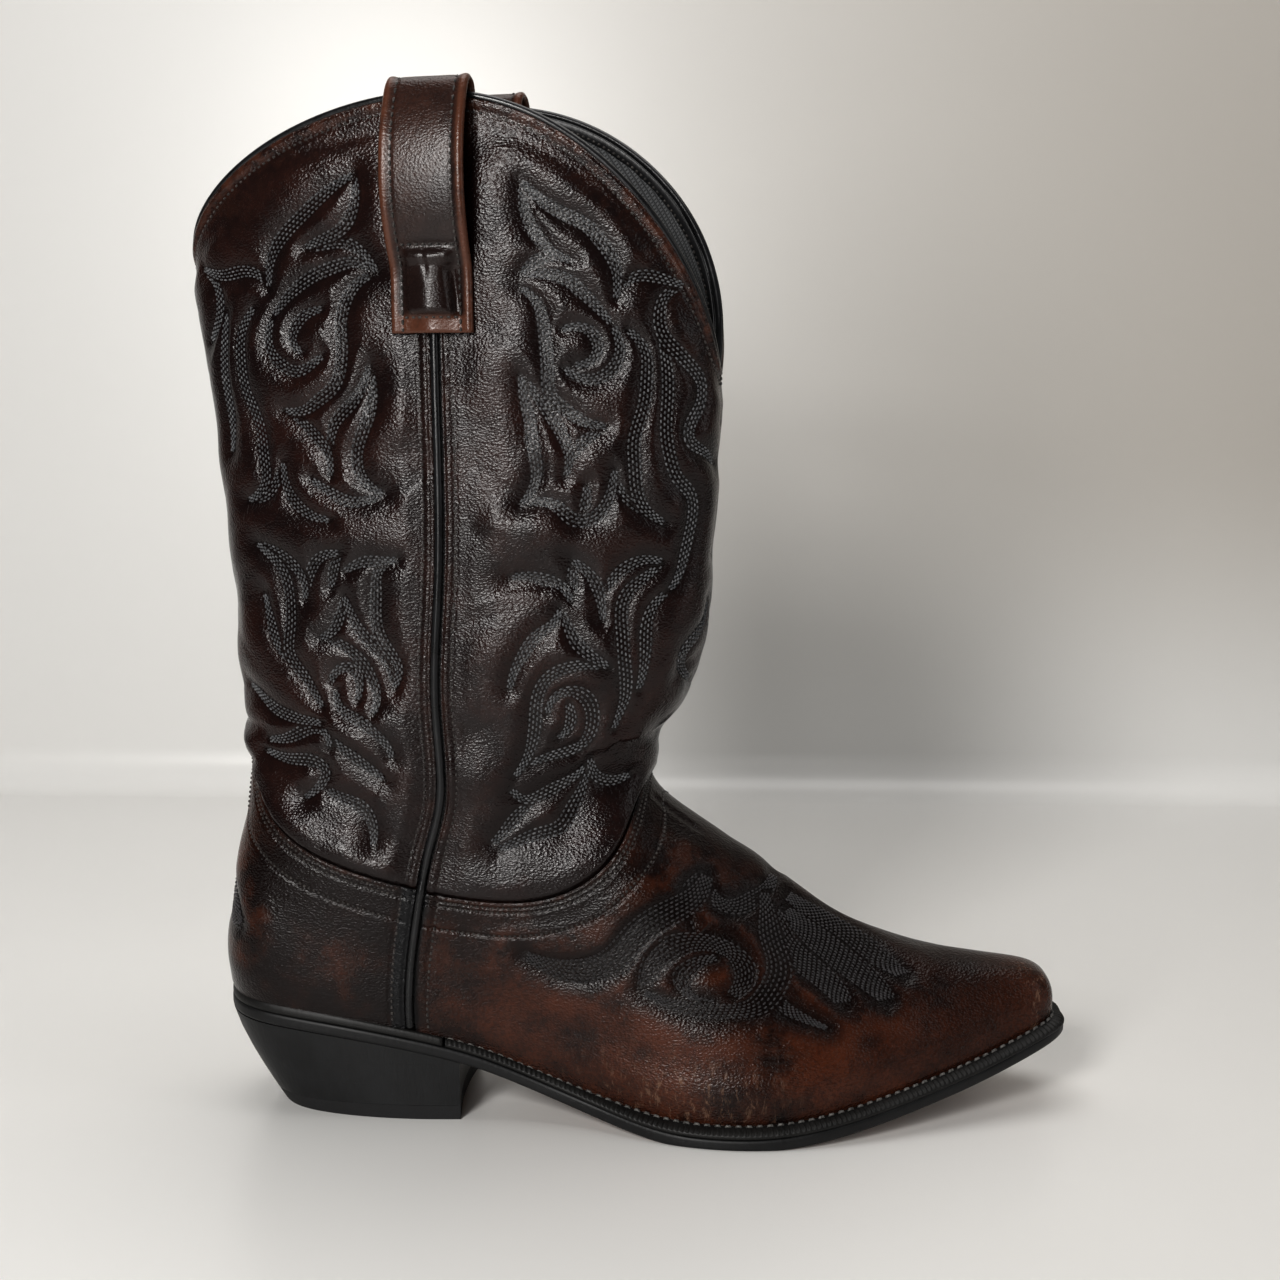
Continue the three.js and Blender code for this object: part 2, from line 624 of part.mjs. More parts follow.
const insoleTop = overSeat(INSOLE_BASE + INSOLE_T);
const INSOLE_X = [9.4, 304.5];
const SOCK_X = [13, 92];
const SOCK_IN = 5.5; // from the feather line to the sock's edge
const SOCK_T = 1;
const FILLER_X = [17, 297];
function bottomPieces() {
  const insole = plate(crossPairs(insoleEdge, ...INSOLE_X, 40), insoleTop, overSeat(INSOLE_BASE));
  add("insole", cut(insole, nailHoles(NAIL_SPOTS)), "insole_board");

  const sockBase = INSOLE_BASE + INSOLE_T + CLEAR;
  const sockPairs = crossPairs(() => -SOCK_IN, ...SOCK_X, 12);
  add("heel_sock", plate(sockPairs, overSeat(sockBase + SOCK_T), overSeat(sockBase)), "lining");

  // Cork fills the space inside the lasting margin, and the shank lies in a slot in it.
  const fillerPairs = crossPairs(() => -RIB[1] - CLEAR, ...FILLER_X, 40);
  const filler = plate(fillerPairs, overSeat(-CLEAR), overSeat(OUTSOLE_TOP + CLEAR));
  const slot = plate(shankPairs(SHANK_HALF + CLEAR), overSeat(20), overSeat(OUTSOLE_TOP - 20));
  add("bottom_filler", cut(filler, [slot, ...nailHoles(NAIL_SPOTS)]), "cork");
  const base = OUTSOLE_TOP + CLEAR;
  add("steel_shank", plate(shankPairs(SHANK_HALF), overSeat(base + SHANK_T), overSeat(base)), "steel");
}
function shankPairs(half) {
  const grow = half - SHANK_HALF;
  return even(SHANK_X[0] - grow, SHANK_X[1] + grow, 14).map((x) =>
    [-half, half].map((y) => new THREE.Vector3(x, SHANK_Y + y, 0)),
  );
}

// The welt runs from one side of the heel round the toe to the other.
// The rand closes the ring at the heel.
function ringPiece(fromAngle, toAngle, edge, reach, levels, count) {
  const grid = (level) =>
    even(fromAngle, toAngle, count).map((angle) =>
      [edge, -reach].map((out) => {
        const p = outlinePoint(angle, out);
        p.z = seatHeight(p.x) + level;
        return p;
      }),
    );
  return between(grid(levels[0]), grid(levels[1]));
}
function angleOfX(x, side) {
  let near = 0;
  let far = 180;
  for (let i = 0; i < 40; i++) {
    const middle = (near + far) / 2;
    if (surface(side * middle, FEATHER).x > x) near = middle;
    else far = middle;
  }
  return near;
}
function weltAndRand() {
  const start = angleOfX(WELT_START_X, -1);
  const end = angleOfX(WELT_START_X, 1);
  const levels = [WELT_TOP, WELT_TOP - WELT_T];
  add("welt", ringPiece(-start, end, soleEdge, LASTING_MARGIN, levels, 72), "welt");
  add("heel_rand", ringPiece(end + 1, 359 - start, soleEdge, LASTING_MARGIN, levels, 24), "welt");
  const ribLevels = [INSOLE_BASE - CLEAR, OUTSOLE_TOP + CLEAR];
  add("insole_rib", ringPiece(-start, end, -RIB[0], RIB[1], ribLevels, 48), "lining");
}

const OUTSOLE_X = [3.8, 315.2];
const soleBottom = (x) => Math.max(0, seatHeight(x) + OUTSOLE_BOTTOM);
function outsole() {
  const pairs = crossPairs(soleEdge, ...OUTSOLE_X, 44);
  const sheet = plate(pairs, overSeat(OUTSOLE_TOP), soleBottom);
  add("outsole", cut(sheet, nailHoles(NAIL_SPOTS)), "sole_leather");
}

// The heel's outline at a share of the way down.
// It leans in from the back and draws in slightly at the sides.
function heelLevel(height, shareDown) {
  const back = HEEL_UNDERCUT * shareDown ** 1.3;
  return even(-angleOfX(BREAST_X, -1), angleOfX(BREAST_X, 1) - 360, 20).map((angle) => {
    const p = outlinePoint(angle, soleEdge);
    const seatX = p.x;
    p.x = mix(back, BREAST_X, seatX / BREAST_X);
    const towardsBack = (1 - seatX / BREAST_X) ** 2;
    p.y *= 1 - (HEEL_TAPER + HEEL_ROUNDING * towardsBack) * shareDown;
    p.z = height(seatX);
    return p;
  });
}
// A solid stacked from rings with the same number of points, with flat fans closing both ends.
function stack(rings) {
  const n = rings[0].length;
  const points = rings.flat();
  const faces = [];
  for (let r = 0; r < rings.length - 1; r++)
    for (let k = 0; k < n; k++) {
      const next = (k + 1) % n;
      faces.push([r * n + k, r * n + next, (r + 1) * n + next, (r + 1) * n + k]);
    }
  const last = (rings.length - 1) * n;
  for (let k = 0; k < n / 2 - 1; k++) {
    const [a, b, c, d] = [k, k + 1, n - 2 - k, n - 1 - k];
    faces.push(b === c ? [a, d, b] : [a, d, c, b]);
    const low = [last + a, last + b, last + c, last + d];
    faces.push(b === c ? [low[0], low[1], low[3]] : low);
  }
  return solidFrom(points, faces);
}
// The heel: a wedge under the seat, flat leather lifts, and a rubber top lift on the floor.
function heel() {
  const seat = (x) => seatHeight(x) + OUTSOLE_BOTTOM - CLEAR;
  const shareAt = (z) => 1 - z / seat(0);
  const nailed = [...nailHoles(NAIL_SPOTS), ...nailHoles(LIFT_NAIL_SPOTS)];
  const flat = LIFT_LEVELS.map((z) => [z, z + CLEAR]);
  const wedgeBase = LIFT_LEVELS[LIFT_LEVELS.length - 1] + CLEAR;
  const wedgeShare = shareAt(wedgeBase);
  const rings = even(0, 1, 2).map((t) => heelLevel((x) => mix(seat(x), wedgeBase, t), t * wedgeShare));
  add("heel_wedge", cut(stack(rings), nailed), "heel");
  flat.slice(0, -1).forEach(([, base], i) => {
    const top = LIFT_LEVELS[i + 1];
    const lift = stack([heelLevel(() => top, shareAt(top)), heelLevel(() => base, shareAt(base))]);
    add(`heel_lift_${i + 1}`, cut(lift, nailed), "heel");
  });
  const [top] = LIFT_LEVELS;
  const rubber = stack([heelLevel(() => top, shareAt(top)), heelLevel(() => 0, 1)]);
  add("heel_top_lift", cut(rubber, nailHoles(LIFT_NAIL_SPOTS)), "rubber");
}

// Nails driven down through insole, outsole and heel block, and up through the top lift.
function nails() {
  NAIL_SPOTS.forEach(([x, y], i) => {
    add(`heel_nail_${i + 1}`, nail(x, y, NAIL_TIP_Z, insoleTop(x)), "steel");
  });
  LIFT_NAIL_SPOTS.forEach(([x, y], i) => {
    add(`lift_nail_${i + 1}`, nail(x, y, LIFT_NAIL_TIP_Z, LIFT_NAIL_HEAD_Z), "steel");
  });
}

shaftPieces();
footCovers();
stiffeners();
footLinings();
sidePipings();
toplineBeads();
pullStraps();
bottomPieces();
weltAndRand();
outsole();
heel();
nails();

export default boot;
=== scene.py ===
"""A western riding boot for the right foot: the looks of its leather, stitching, welt, sole and heel.

Lengths are written in millimetres and become metres when a mesh is made.
Angles are in degrees round the boot: 0 is the front centre, 180 the back centre,
-90 the outer side seam and 90 the inner one. Stations count down the boot's girth lines.
"""
import math

import bpy
import numpy as np
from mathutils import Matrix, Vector, kdtree, noise


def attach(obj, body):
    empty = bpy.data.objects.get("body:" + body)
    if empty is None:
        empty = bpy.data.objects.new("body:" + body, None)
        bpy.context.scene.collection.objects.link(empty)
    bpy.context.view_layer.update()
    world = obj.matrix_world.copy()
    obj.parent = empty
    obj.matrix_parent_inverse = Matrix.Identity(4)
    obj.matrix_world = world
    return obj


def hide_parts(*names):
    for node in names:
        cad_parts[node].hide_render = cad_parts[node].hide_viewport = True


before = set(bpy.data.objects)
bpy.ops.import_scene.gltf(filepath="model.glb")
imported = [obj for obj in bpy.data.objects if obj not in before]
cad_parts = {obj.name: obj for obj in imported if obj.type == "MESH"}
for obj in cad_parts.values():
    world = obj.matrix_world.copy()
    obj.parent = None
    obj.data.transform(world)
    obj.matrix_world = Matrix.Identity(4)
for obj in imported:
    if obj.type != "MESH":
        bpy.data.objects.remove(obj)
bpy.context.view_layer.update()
MM = 0.001


# ---------------------------------------------------------------- camera, light and floor
CAMERA_AT = (0.12744, -0.61941, 0.252)
CAMERA_TURN = (math.radians(82.792), 0, math.radians(2.5))
LENS, SENSOR = 47.81, 36


def make_camera():
    data = bpy.data.cameras.new("camera")
    data.lens = LENS
    data.sensor_width = SENSOR
    camera = bpy.data.objects.new("camera", data)
    camera.location = CAMERA_AT
    camera.rotation_euler = CAMERA_TURN
    bpy.context.scene.collection.objects.link(camera)
    bpy.context.scene.camera = camera


def area_light(name, at, aim, size, power, colour):
    data = bpy.data.lights.new(name, "AREA")
    data.shape = "RECTANGLE"
    data.size, data.size_y = size
    data.energy = power
    data.color = colour
    light = bpy.data.objects.new(name, data)
    light.location = at
    light.rotation_euler = (Vector(aim) - Vector(at)).to_track_quat("-Z", "Y").to_euler()
    bpy.context.scene.collection.objects.link(light)


LIGHTS = [  # name, place, aim, size, watts, colour
    ("key", (-0.35, -1.15, 0.85), (0.05, 0, 0.17), (0.36, 0.24), 11.2, (1, 0.985, 0.965)),
    ("top", (0.15, 0.15, 1.5), (0.15, 0.1, 0), (1.2, 0.9), 11.2, (1, 0.985, 0.97)),
    ("front_left", (-0.45, -1.25, 0.36), (0.05, 0, 0.2), (0.24, 0.34), 4.0, (1, 0.99, 0.975)),
    ("front_right", (0.04, -1.3, 0.46), (0.07, 0, 0.2), (0.18, 0.24), 2.1, (1, 0.99, 0.975)),
    ("glint", (-0.40, -1.2, 0.62), (0.03, 0, 0.13), (0.34, 0.1), 3.4, (1, 0.99, 0.975)),
    ("side", (1.3, -0.35, 0.6), (0.1, 0, 0.15), (0.4, 0.8), 2.0, (1, 1, 1)),
]


def make_lights():
    for light in LIGHTS:
        area_light(*light)
    world = bpy.data.worlds.new("studio")
    world.use_nodes = True
    background = world.node_tree.nodes["Background"]
    background.inputs["Color"].default_value = (0.86, 0.85, 0.84, 1)
    background.inputs["Strength"].default_value = 0.062
    bpy.context.scene.world = world
    view = bpy.context.scene.view_settings
    view.view_transform = "Standard"
    view.gamma = 0.8


WALL_Y = 0.53
COVE = 0.03


def make_backdrop():
    """A pale floor that curves up into a wall behind the boot."""
    profile = [(-1.6, 0), (WALL_Y - COVE, 0)]
    for i in range(1, 9):
        turn = math.pi / 2 * i / 8
        profile.append((WALL_Y - COVE + COVE * math.sin(turn), COVE - COVE * math.cos(turn)))
    profile.append((WALL_Y, 1.8))
    points = [(x, y, z) for y, z in profile for x in (-2.2, 2.4)]
    faces = [(2 * i, 2 * i + 1, 2 * i + 3, 2 * i + 2) for i in range(len(profile) - 1)]
    mesh = bpy.data.meshes.new("backdrop")
    mesh.from_pydata(points, [], faces)
    mesh.shade_smooth()
    floor = bpy.data.objects.new("backdrop", mesh)
    bpy.context.scene.collection.objects.link(floor)
    floor.data.materials.append(pale_floor())


# ---------------------------------------------------------------- materials
class Graph:
    """A material's node tree with short calls for the nodes used here."""

    def __init__(self, name):
        self.material = bpy.data.materials.new(name)
        self.material.use_nodes = True
        self.tree = self.material.node_tree
        self.tree.nodes.clear()
        self.shader = self.tree.nodes.new("ShaderNodeBsdfPrincipled")
        output = self.tree.nodes.new("ShaderNodeOutputMaterial")
        self.tree.links.new(self.shader.outputs[0], output.inputs[0])
        self.place = self.node("TexCoord").outputs["Object"]

    def node(self, kind, **values):
        made = self.tree.nodes.new("ShaderNode" + kind)
        for key, value in values.items():
            setattr(made, key, value)
        return made

    def put(self, socket, value):
        if isinstance(value, bpy.types.NodeSocket):
            self.tree.links.new(value, socket)
        elif isinstance(value, tuple) and len(value) == 3 and socket.type == "RGBA":
            socket.default_value = (*value, 1)
        else:
            socket.default_value = value

    def set(self, **values):
        for key, value in values.items():
            self.put(self.shader.inputs[key.replace("_", " ")], value)

    def math(self, operation, a, b=0.0):
        made = self.node("Math", operation=operation)
        for socket, value in zip(made.inputs, (a, b)):
            self.put(socket, value)
        return made.outputs[0]

    def mix(self, share, a, b):
        made = self.node("Mix", data_type="RGBA")
        self.put(made.inputs["Factor"], share)
        self.put(made.inputs[6], a)
        self.put(made.inputs[7], b)
        return made.outputs[2]

    def band(self, value, low, high, to_low=0.0, to_high=1.0):
        """A smooth step from to_low to to_high while value goes from low to high."""
        made = self.node("MapRange", interpolation_type="SMOOTHSTEP")
        for socket, number in zip(made.inputs, (value, low, high, to_low, to_high)):
            self.put(socket, number)
        return made.outputs[0]

    def stretched(self, scale):
        made = self.node("Mapping")
        self.put(made.inputs["Vector"], self.place)
        made.inputs["Scale"].default_value = scale
        return made.outputs[0]

    def noise(self, scale, detail=3.0, rough=0.55, distort=0.0, place=None):
        made = self.node("TexNoise")
        self.put(made.inputs["Vector"], place or self.place)
        values = {"Scale": scale, "Detail": detail, "Roughness": rough, "Distortion": distort}
        for key, value in values.items():
            made.inputs[key].default_value = value
        return made.outputs[0]

    def cells(self, scale, feature="F1", place=None):
        made = self.node("TexVoronoi", feature=feature)
        self.put(made.inputs["Vector"], place or self.place)
        made.inputs["Scale"].default_value = scale
        if feature == "SMOOTH_F1":
            made.inputs["Smoothness"].default_value = 0.3
        return made.outputs["Distance"]

    def attribute(self, name):
        return self.node("Attribute", attribute_name=name).outputs["Fac"]

    def bump(self, height, distance, strength=1.0, normal=None):
        made = self.node("Bump")
        self.put(made.inputs["Height"], height)
        made.inputs["Distance"].default_value = distance
        made.inputs["Strength"].default_value = strength
        if normal is not None:
            self.put(made.inputs["Normal"], normal)
        return made.outputs[0]


BURNISHED = (0.006, 0.006, 0.007)
SCUFFED = (0.17, 0.10, 0.065)


def leather(name, dark, mid, bright, grain=1.0, gloss=0.34, rub=(0.36, 0.66), shine=0.4):
    """Antiqued smooth leather: dark dye rubbed back to a redder brown on high and worn places. Inside the
    sunken stitched bands it is painted darker: painted shade, together with the real dark needle holes.
    """
    g = Graph(name)
    wide = g.noise(14, 4, 0.6, 0.5)
    small = g.noise(70, 4, 0.65)
    mottled = g.math("ADD", g.math("MULTIPLY", wide, 0.7), g.math("MULTIPLY", small, 0.3))
    colour = g.mix(g.band(mottled, 0.43, 0.66), dark, mid)
    colour = g.mix(g.band(g.noise(800, 3, 0.7), 0.42, 0.62, 0, 0.45), colour, dark)
    relief = g.attribute("relief")
    worn = g.math("MULTIPLY", g.band(relief, 0.35, 1.0), g.band(small, 0.38, 0.62))
    colour = g.mix(g.math("MULTIPLY", worn, 0.5), colour, mid)
    edge = g.attribute("edge")
    rubbed = g.math("MULTIPLY", edge, g.band(g.noise(120, 3, 0.7), *rub))
    colour = g.mix(rubbed, colour, bright)
    colour = g.mix(g.math("MULTIPLY", g.attribute("shade"), 0.8), colour, dark)
    # Painted shade: the band mark darkens the leather inside the sunken stitched bands, along with their
    # real dark needle holes.
    colour = g.mix(g.math("MULTIPLY", g.attribute("band"), 0.6), colour, tuple(c * 0.35 for c in dark))
    colour = g.mix(g.attribute("black"), colour, BURNISHED)
    streaks = g.noise(330, 5, 0.75, 0.4, g.stretched((1.3, 1, 0.45)))
    scuffs = g.math("MULTIPLY", g.attribute("scuff"), g.band(streaks, 0.53, 0.68))
    colour = g.mix(scuffs, colour, SCUFFED)
    pebbles = g.cells(1000, "SMOOTH_F1", g.stretched((1, 1, 1.4)))
    fine = g.noise(1500, 3, 0.6)
    wrinkles = g.noise(460, 5, 0.6, 0.3, g.stretched((1, 1, 2.0)))
    grained = g.bump(wrinkles, 0.0004, 0.45 * grain)
    grained = g.bump(pebbles, 0.00028, 0.6 * grain, grained)
    grained = g.bump(fine, 0.00012, 0.5, grained)
    rough = g.math("ADD", g.math("MULTIPLY", small, 0.2), gloss - 0.1)
    rough = g.math("ADD", rough, g.math("MULTIPLY", scuffs, 0.25))
    g.set(Base_Color=colour, Roughness=rough, Normal=grained)
    g.set(Specular_IOR_Level=shine)
    return g.material


def polished(name, colour, rough=0.3, grain=0.0003, coat=0.2):
    """Black edge dressing, piping and heel lacquer."""
    g = Graph(name)
    cloud = g.noise(90, 4, 0.6)
    base = g.mix(g.band(cloud, 0.35, 0.7), tuple(c * 0.7 for c in colour), tuple(c * 1.3 for c in colour))
    scratches = g.noise(600, 3, 0.6, 0.3, g.stretched((1, 1, 0.25)))
    g.set(Base_Color=base, Roughness=g.math("ADD", g.math("MULTIPLY", cloud, 0.25), rough - 0.12))
    g.set(Normal=g.bump(scratches, grain, 0.35), Specular_IOR_Level=0.4)
    g.set(Coat_Weight=coat, Coat_Roughness=0.25)
    return g.material


def thread(name, colour, light):
    g = Graph(name)
    fuzz = g.noise(900, 2)
    g.set(Base_Color=g.mix(g.band(fuzz, 0.35, 0.65), colour, light), Roughness=0.45)
    g.set(Normal=g.bump(g.noise(2500, 2), 0.0001, 0.6), Sheen_Weight=0.15, Specular_IOR_Level=0.4)
    return g.material


def woven(name, dark, light, pitch=0.0011):
    """A coarse plain weave. Its threads follow the sheet's own UV, in metres."""
    g = Graph(name)
    uv = g.node("UVMap").outputs[0]
    axes = g.node("SeparateXYZ")
    g.put(axes.inputs[0], uv)
    waves = [g.math("SINE", g.math("MULTIPLY", axes.outputs[k], math.pi / pitch)) for k in (0, 1)]
    squares = [g.math("ABSOLUTE", w) for w in waves]
    over = g.math("MULTIPLY", waves[0], waves[1])
    ridge = g.math("MAXIMUM", squares[0], squares[1])
    height = g.math("ADD", g.math("MULTIPLY", over, 0.5), ridge)
    colour = g.mix(g.band(height, 0.2, 1.3), dark, light)
    colour = g.mix(g.math("MULTIPLY", g.noise(60, 4), 0.5), colour, dark)
    fuzz = g.bump(g.noise(1800, 3), 0.0001, 0.5)
    g.set(Base_Color=colour, Roughness=0.85, Normal=g.bump(height, 0.0003, 0.8, fuzz))
    g.set(Sheen_Weight=0.25, Sheen_Roughness=0.5)
    return g.material


def natural(name, light, dark, rough=0.6, scale=60.0, fibre=500.0):
    """Undyed leather, leather board, cork and the like."""
    g = Graph(name)
    blotch = g.noise(scale, 5, 0.65)
    specks = g.cells(fibre, "F1")
    colour = g.mix(g.band(blotch, 0.3, 0.7), light, dark)
    colour = g.mix(g.band(specks, 0.0, 0.35, 0.35, 0.0), colour, tuple(c * 0.5 for c in dark))
    grained = g.bump(g.noise(fibre * 2, 4, 0.7), 0.0002, 0.6, g.bump(specks, 0.0002, 0.3))
    g.set(Base_Color=colour, Roughness=g.math("ADD", g.math("MULTIPLY", blotch, 0.3), rough - 0.15))
    g.set(Normal=grained)
    return g.material


def steel():
    g = Graph("steel")
    brushed = g.noise(900, 2, 0.5, 0, g.stretched((1, 1, 0.1)))
    g.set(Base_Color=g.mix(brushed, (0.45, 0.44, 0.43), (0.6, 0.6, 0.6)), Metallic=1.0)
    g.set(Roughness=g.math("ADD", g.math("MULTIPLY", brushed, 0.2), 0.25))
    g.set(Normal=g.bump(brushed, 0.0001, 0.3))
    return g.material


def pale_floor():
    g = Graph("pale_floor")
    cloud = g.noise(1.5, 3)
    axes = g.node("SeparateXYZ")
    g.put(axes.inputs[0], g.place)
    shaded = g.math("MULTIPLY", g.band(axes.outputs[0], -0.3, 0.6), g.band(axes.outputs[2], 0.0, 0.25))
    pale = g.mix(cloud, (0.71, 0.702, 0.686), (0.75, 0.747, 0.732))
    g.set(Base_Color=g.mix(shaded, pale, (0.50, 0.475, 0.44)), Roughness=0.32)
    return g.material


FINISH = {
    "shaft": leather("shaft_leather", (0.0085, 0.0042, 0.0040), (0.024, 0.0092, 0.0070),
                     (0.060, 0.023, 0.014), gloss=0.15, shine=0.37),
    "foot": leather("foot_leather", (0.0062, 0.0026, 0.0022), (0.076, 0.0220, 0.0092),
                    (0.070, 0.024, 0.013), grain=1.15, gloss=0.19, shine=0.29),
    "strap": leather("strap_leather", (0.014, 0.007, 0.006), (0.044, 0.018, 0.012),
                     (0.088, 0.034, 0.019), grain=0.45, gloss=0.27, rub=(0.15, 0.5)),
    "piping": polished("black_piping", (0.008, 0.008, 0.009), rough=0.28),
    "edge": polished("edge_dressing", (0.007, 0.007, 0.0075), rough=0.48, grain=0.0004, coat=0),
    "heel": polished("heel_stack", (0.008, 0.0083, 0.009), rough=0.45, grain=0.0004, coat=0),
    "rubber": natural("top_lift_rubber", (0.009, 0.009, 0.0095), (0.013, 0.013, 0.014), 0.75, 80, 900),
    "welt": polished("welt_leather", (0.008, 0.0075, 0.007), rough=0.48, grain=0.0005, coat=0),
    "thread": thread("dark_thread", (0.040, 0.041, 0.045), (0.15, 0.153, 0.16)),
    "foot_thread": thread("foot_thread", (0.014, 0.0128, 0.0143), (0.044, 0.040, 0.043)),
    "seam_thread": thread("seam_thread", (0.016, 0.0135, 0.0125), (0.058, 0.050, 0.045)),
    "welt_thread": thread("welt_thread", (0.045, 0.043, 0.040), (0.14, 0.134, 0.127)),
    "lining": woven("woven_lining", (0.022, 0.0225, 0.024), (0.17, 0.175, 0.18)),
    "facing": polished("facing_leather", (0.016, 0.016, 0.017), rough=0.35),
    "sole": natural("sole_leather", (0.16, 0.062, 0.024), (0.10, 0.038, 0.015), 0.5, 40, 700),
    "board": natural("insole_board", (0.30, 0.19, 0.11), (0.20, 0.12, 0.065), 0.8, 50, 800),
    "stiffener": natural("stiffener_board", (0.28, 0.22, 0.15), (0.2, 0.15, 0.1), 0.8, 50, 900),
    "sock": natural("sock_leather", (0.030, 0.028, 0.027), (0.016, 0.015, 0.015), 0.6, 60, 900),
    "cork": natural("cork_filler", (0.28, 0.15, 0.07), (0.16, 0.08, 0.035), 0.9, 120, 450),
    "steel": steel(),
}


# ---------------------------------------------------------------- the boot's surface, as in the CAD source
HEEL_CENTRE_X = 57
RIM_PEAKS = (362, 367.5)  # outer and inner side
RIM_FRONT_DIP, RIM_BACK_DIP = 272, 311
RIM_FRONT_FALLS, RIM_BACK_FALL = (1.3, 1.0), 1.45
SHAFT_ROUNDNESS = 0.82
SHAFT_TWIST, TWIST_X = 10.5, 93
TOE_SWING, LAST_LENGTH = 8, 310
SHAFT_LINES = [  # height, then front to back at y 0: back, side seam, front, and half the width
    (376, -9.5, 94, 189.5, 32),
    (320, -9, 94, 189, 34),
    (260, -1, 94.5, 187, 36),
    (205, 3.7, 94.5, 183.5, 37.5),
    (160, 10, 92, 176, 38.5),
]
FOOT_ANGLES = [0, 5, 12, 30, 55, 90, 125, 155, 180]
FOOT_ROWS = [  # along each meridian, from the ankle to the feather line: x, half width, height
    [(160, 0, 125), (184, 0, 102.5), (212, 0, 81.5), (245, 0, 62), (281, 0, 53.5), (306, 0, 48),
     (310, 0)],
    [(159.5, 5, 125), (183, 5.5, 102), (210.5, 7, 80.5), (243, 8.5, 60.5), (278, 9.5, 51.5),
     (304, 9.5, 46.5), (309, 9.5)],
    [(158, 11, 125), (179, 13, 100), (203, 16.5, 77), (231, 20, 57), (262, 21, 44.5),
     (286, 18.5, 37.5), (291, 18.5)],
    [(149, 23, 125.5), (162, 28, 98), (176, 33.5, 72), (192, 40, 49), (207, 44.5, 31), (215, 46.5, 21),
     (217, 45.5)],
    [(127, 33, 126), (131, 34, 99), (135, 34.5, 74), (138.5, 35.5, 52), (141, 36, 34), (144, 36, 23),
     (146, 34)],
    [(89, 37, 126), (84.5, 35.5, 104), (80.5, 33.5, 85), (77.5, 32, 67), (76, 31.5, 54),
     (75.5, 31, 44.5), (75.5, 29.5)],
    [(44, 30, 127), (39, 30, 105), (35, 30, 86), (33, 30.5, 70.5), (32, 30.5, 58.5), (32, 30, 51),
     (32, 28.5)],
    [(20.5, 15, 127.5), (16.5, 17, 106), (13.5, 18.5, 88), (12, 20, 73), (11, 20.5, 61.5),
     (10.5, 20.5, 54), (11.5, 19)],
    [(14.5, 0, 128), (12.5, 0, 107), (9, 0, 89), (6.8, 0, 74), (5, 0, 63), (4.6, 0, 55), (5, 0)],
]
BALL_SHIFT = 8  # how far further forwards the ball's inner side lies
INNER_WIDENING = {55: -0.14, 12: 0.08}  # of the inner side at some angles, as shares of the outer half
SEAT = [  # the feather line's height: x from the heel's back, z
    (0, 47), (35, 43.5), (76, 36.5), (100, 30), (125, 20.5), (150, 13), (170, 9.8), (188, 9.2),
    (205, 9.6), (223, 11.5), (240, 14.5), (262, 19.5), (287, 26.5), (310, 35.5),
]
FEATHER = len(SHAFT_LINES) + len(FOOT_ROWS[0]) - 1
VAMP_SIDE, COUNTER_SIDE = 6.9, 6.85
TONGUE_RISE, COUNTER_RISE, PEAK_RISE = 1.95, 1.55, 0.6
SEAM_GAP = 1.9
COVER_DEPTH = 1.8
LINING_DEPTH = (-2.7, -1.8)
WELT_TOP = -2.1
OUTSOLE_TOP = -5.4
OUTSOLE_BOTTOM = -9.9


class Spline:
    """A natural cubic through knots, whose values may have several columns."""

    def __init__(self, knots, values):
        self.x = np.asarray(knots, float)
        self.y = np.asarray(values, float)
        count = len(self.x)
        h = np.diff(self.x)
        left, right = np.eye(count), np.zeros(self.y.shape)
        for i in range(1, count - 1):
            left[i, i - 1:i + 2] = h[i - 1], 2 * (h[i - 1] + h[i]), h[i]
            rise = (self.y[i + 1] - self.y[i]) / h[i] - (self.y[i] - self.y[i - 1]) / h[i - 1]
            right[i] = 6 * rise
        self.bend = np.linalg.solve(left, right)

    def __call__(self, x):
        x = np.asarray(x, float)
        i = np.clip(np.searchsorted(self.x, x) - 1, 0, len(self.x) - 2)
        h = self.x[i + 1] - self.x[i]
        a, b = (self.x[i + 1] - x) / h, (x - self.x[i]) / h
        if self.y.ndim > 1:
            h, a, b = h[..., None], a[..., None], b[..., None]
        curve = (a**3 - a) * self.bend[i] + (b**3 - b) * self.bend[i + 1]
        return a * self.y[i] + b * self.y[i + 1] + curve * h * h / 6


seat_height = Spline([p[0] for p in SEAT], [p[1] for p in SEAT])


def shaft_knot(station, turn, side):
    z, back, seam, front, half = SHAFT_LINES[station]
    reach = front - seam if turn < math.pi / 2 else seam - back
    x = seam + reach * math.cos(turn) - TWIST_X
    y = side * half * abs(math.sin(turn)) ** SHAFT_ROUNDNESS
    t = -math.radians(SHAFT_TWIST * (1 - station / FEATHER))
    return TWIST_X + x * math.cos(t) - y * math.sin(t), x * math.sin(t) + y * math.cos(t), z


def foot_knot(row, index, side):
    x, y = FOOT_ROWS[index][row][:2]
    angle, low = FOOT_ANGLES[index], min(1, row / 4)
    shift = BALL_SHIFT * low if side > 0 and angle == 30 else 0
    x += shift
    if side > 0:
        y *= 1 + INNER_WIDENING.get(angle, 0) * low
    last = row == len(FOOT_ROWS[0]) - 1
    z = float(seat_height(x)) if last else FOOT_ROWS[index][row][2]
    if shift and not last:
        z += float(seat_height(x) - seat_height(x - shift)) * low
    return x, side * y + TOE_SWING * max(0, x / LAST_LENGTH) ** 3 * low, z


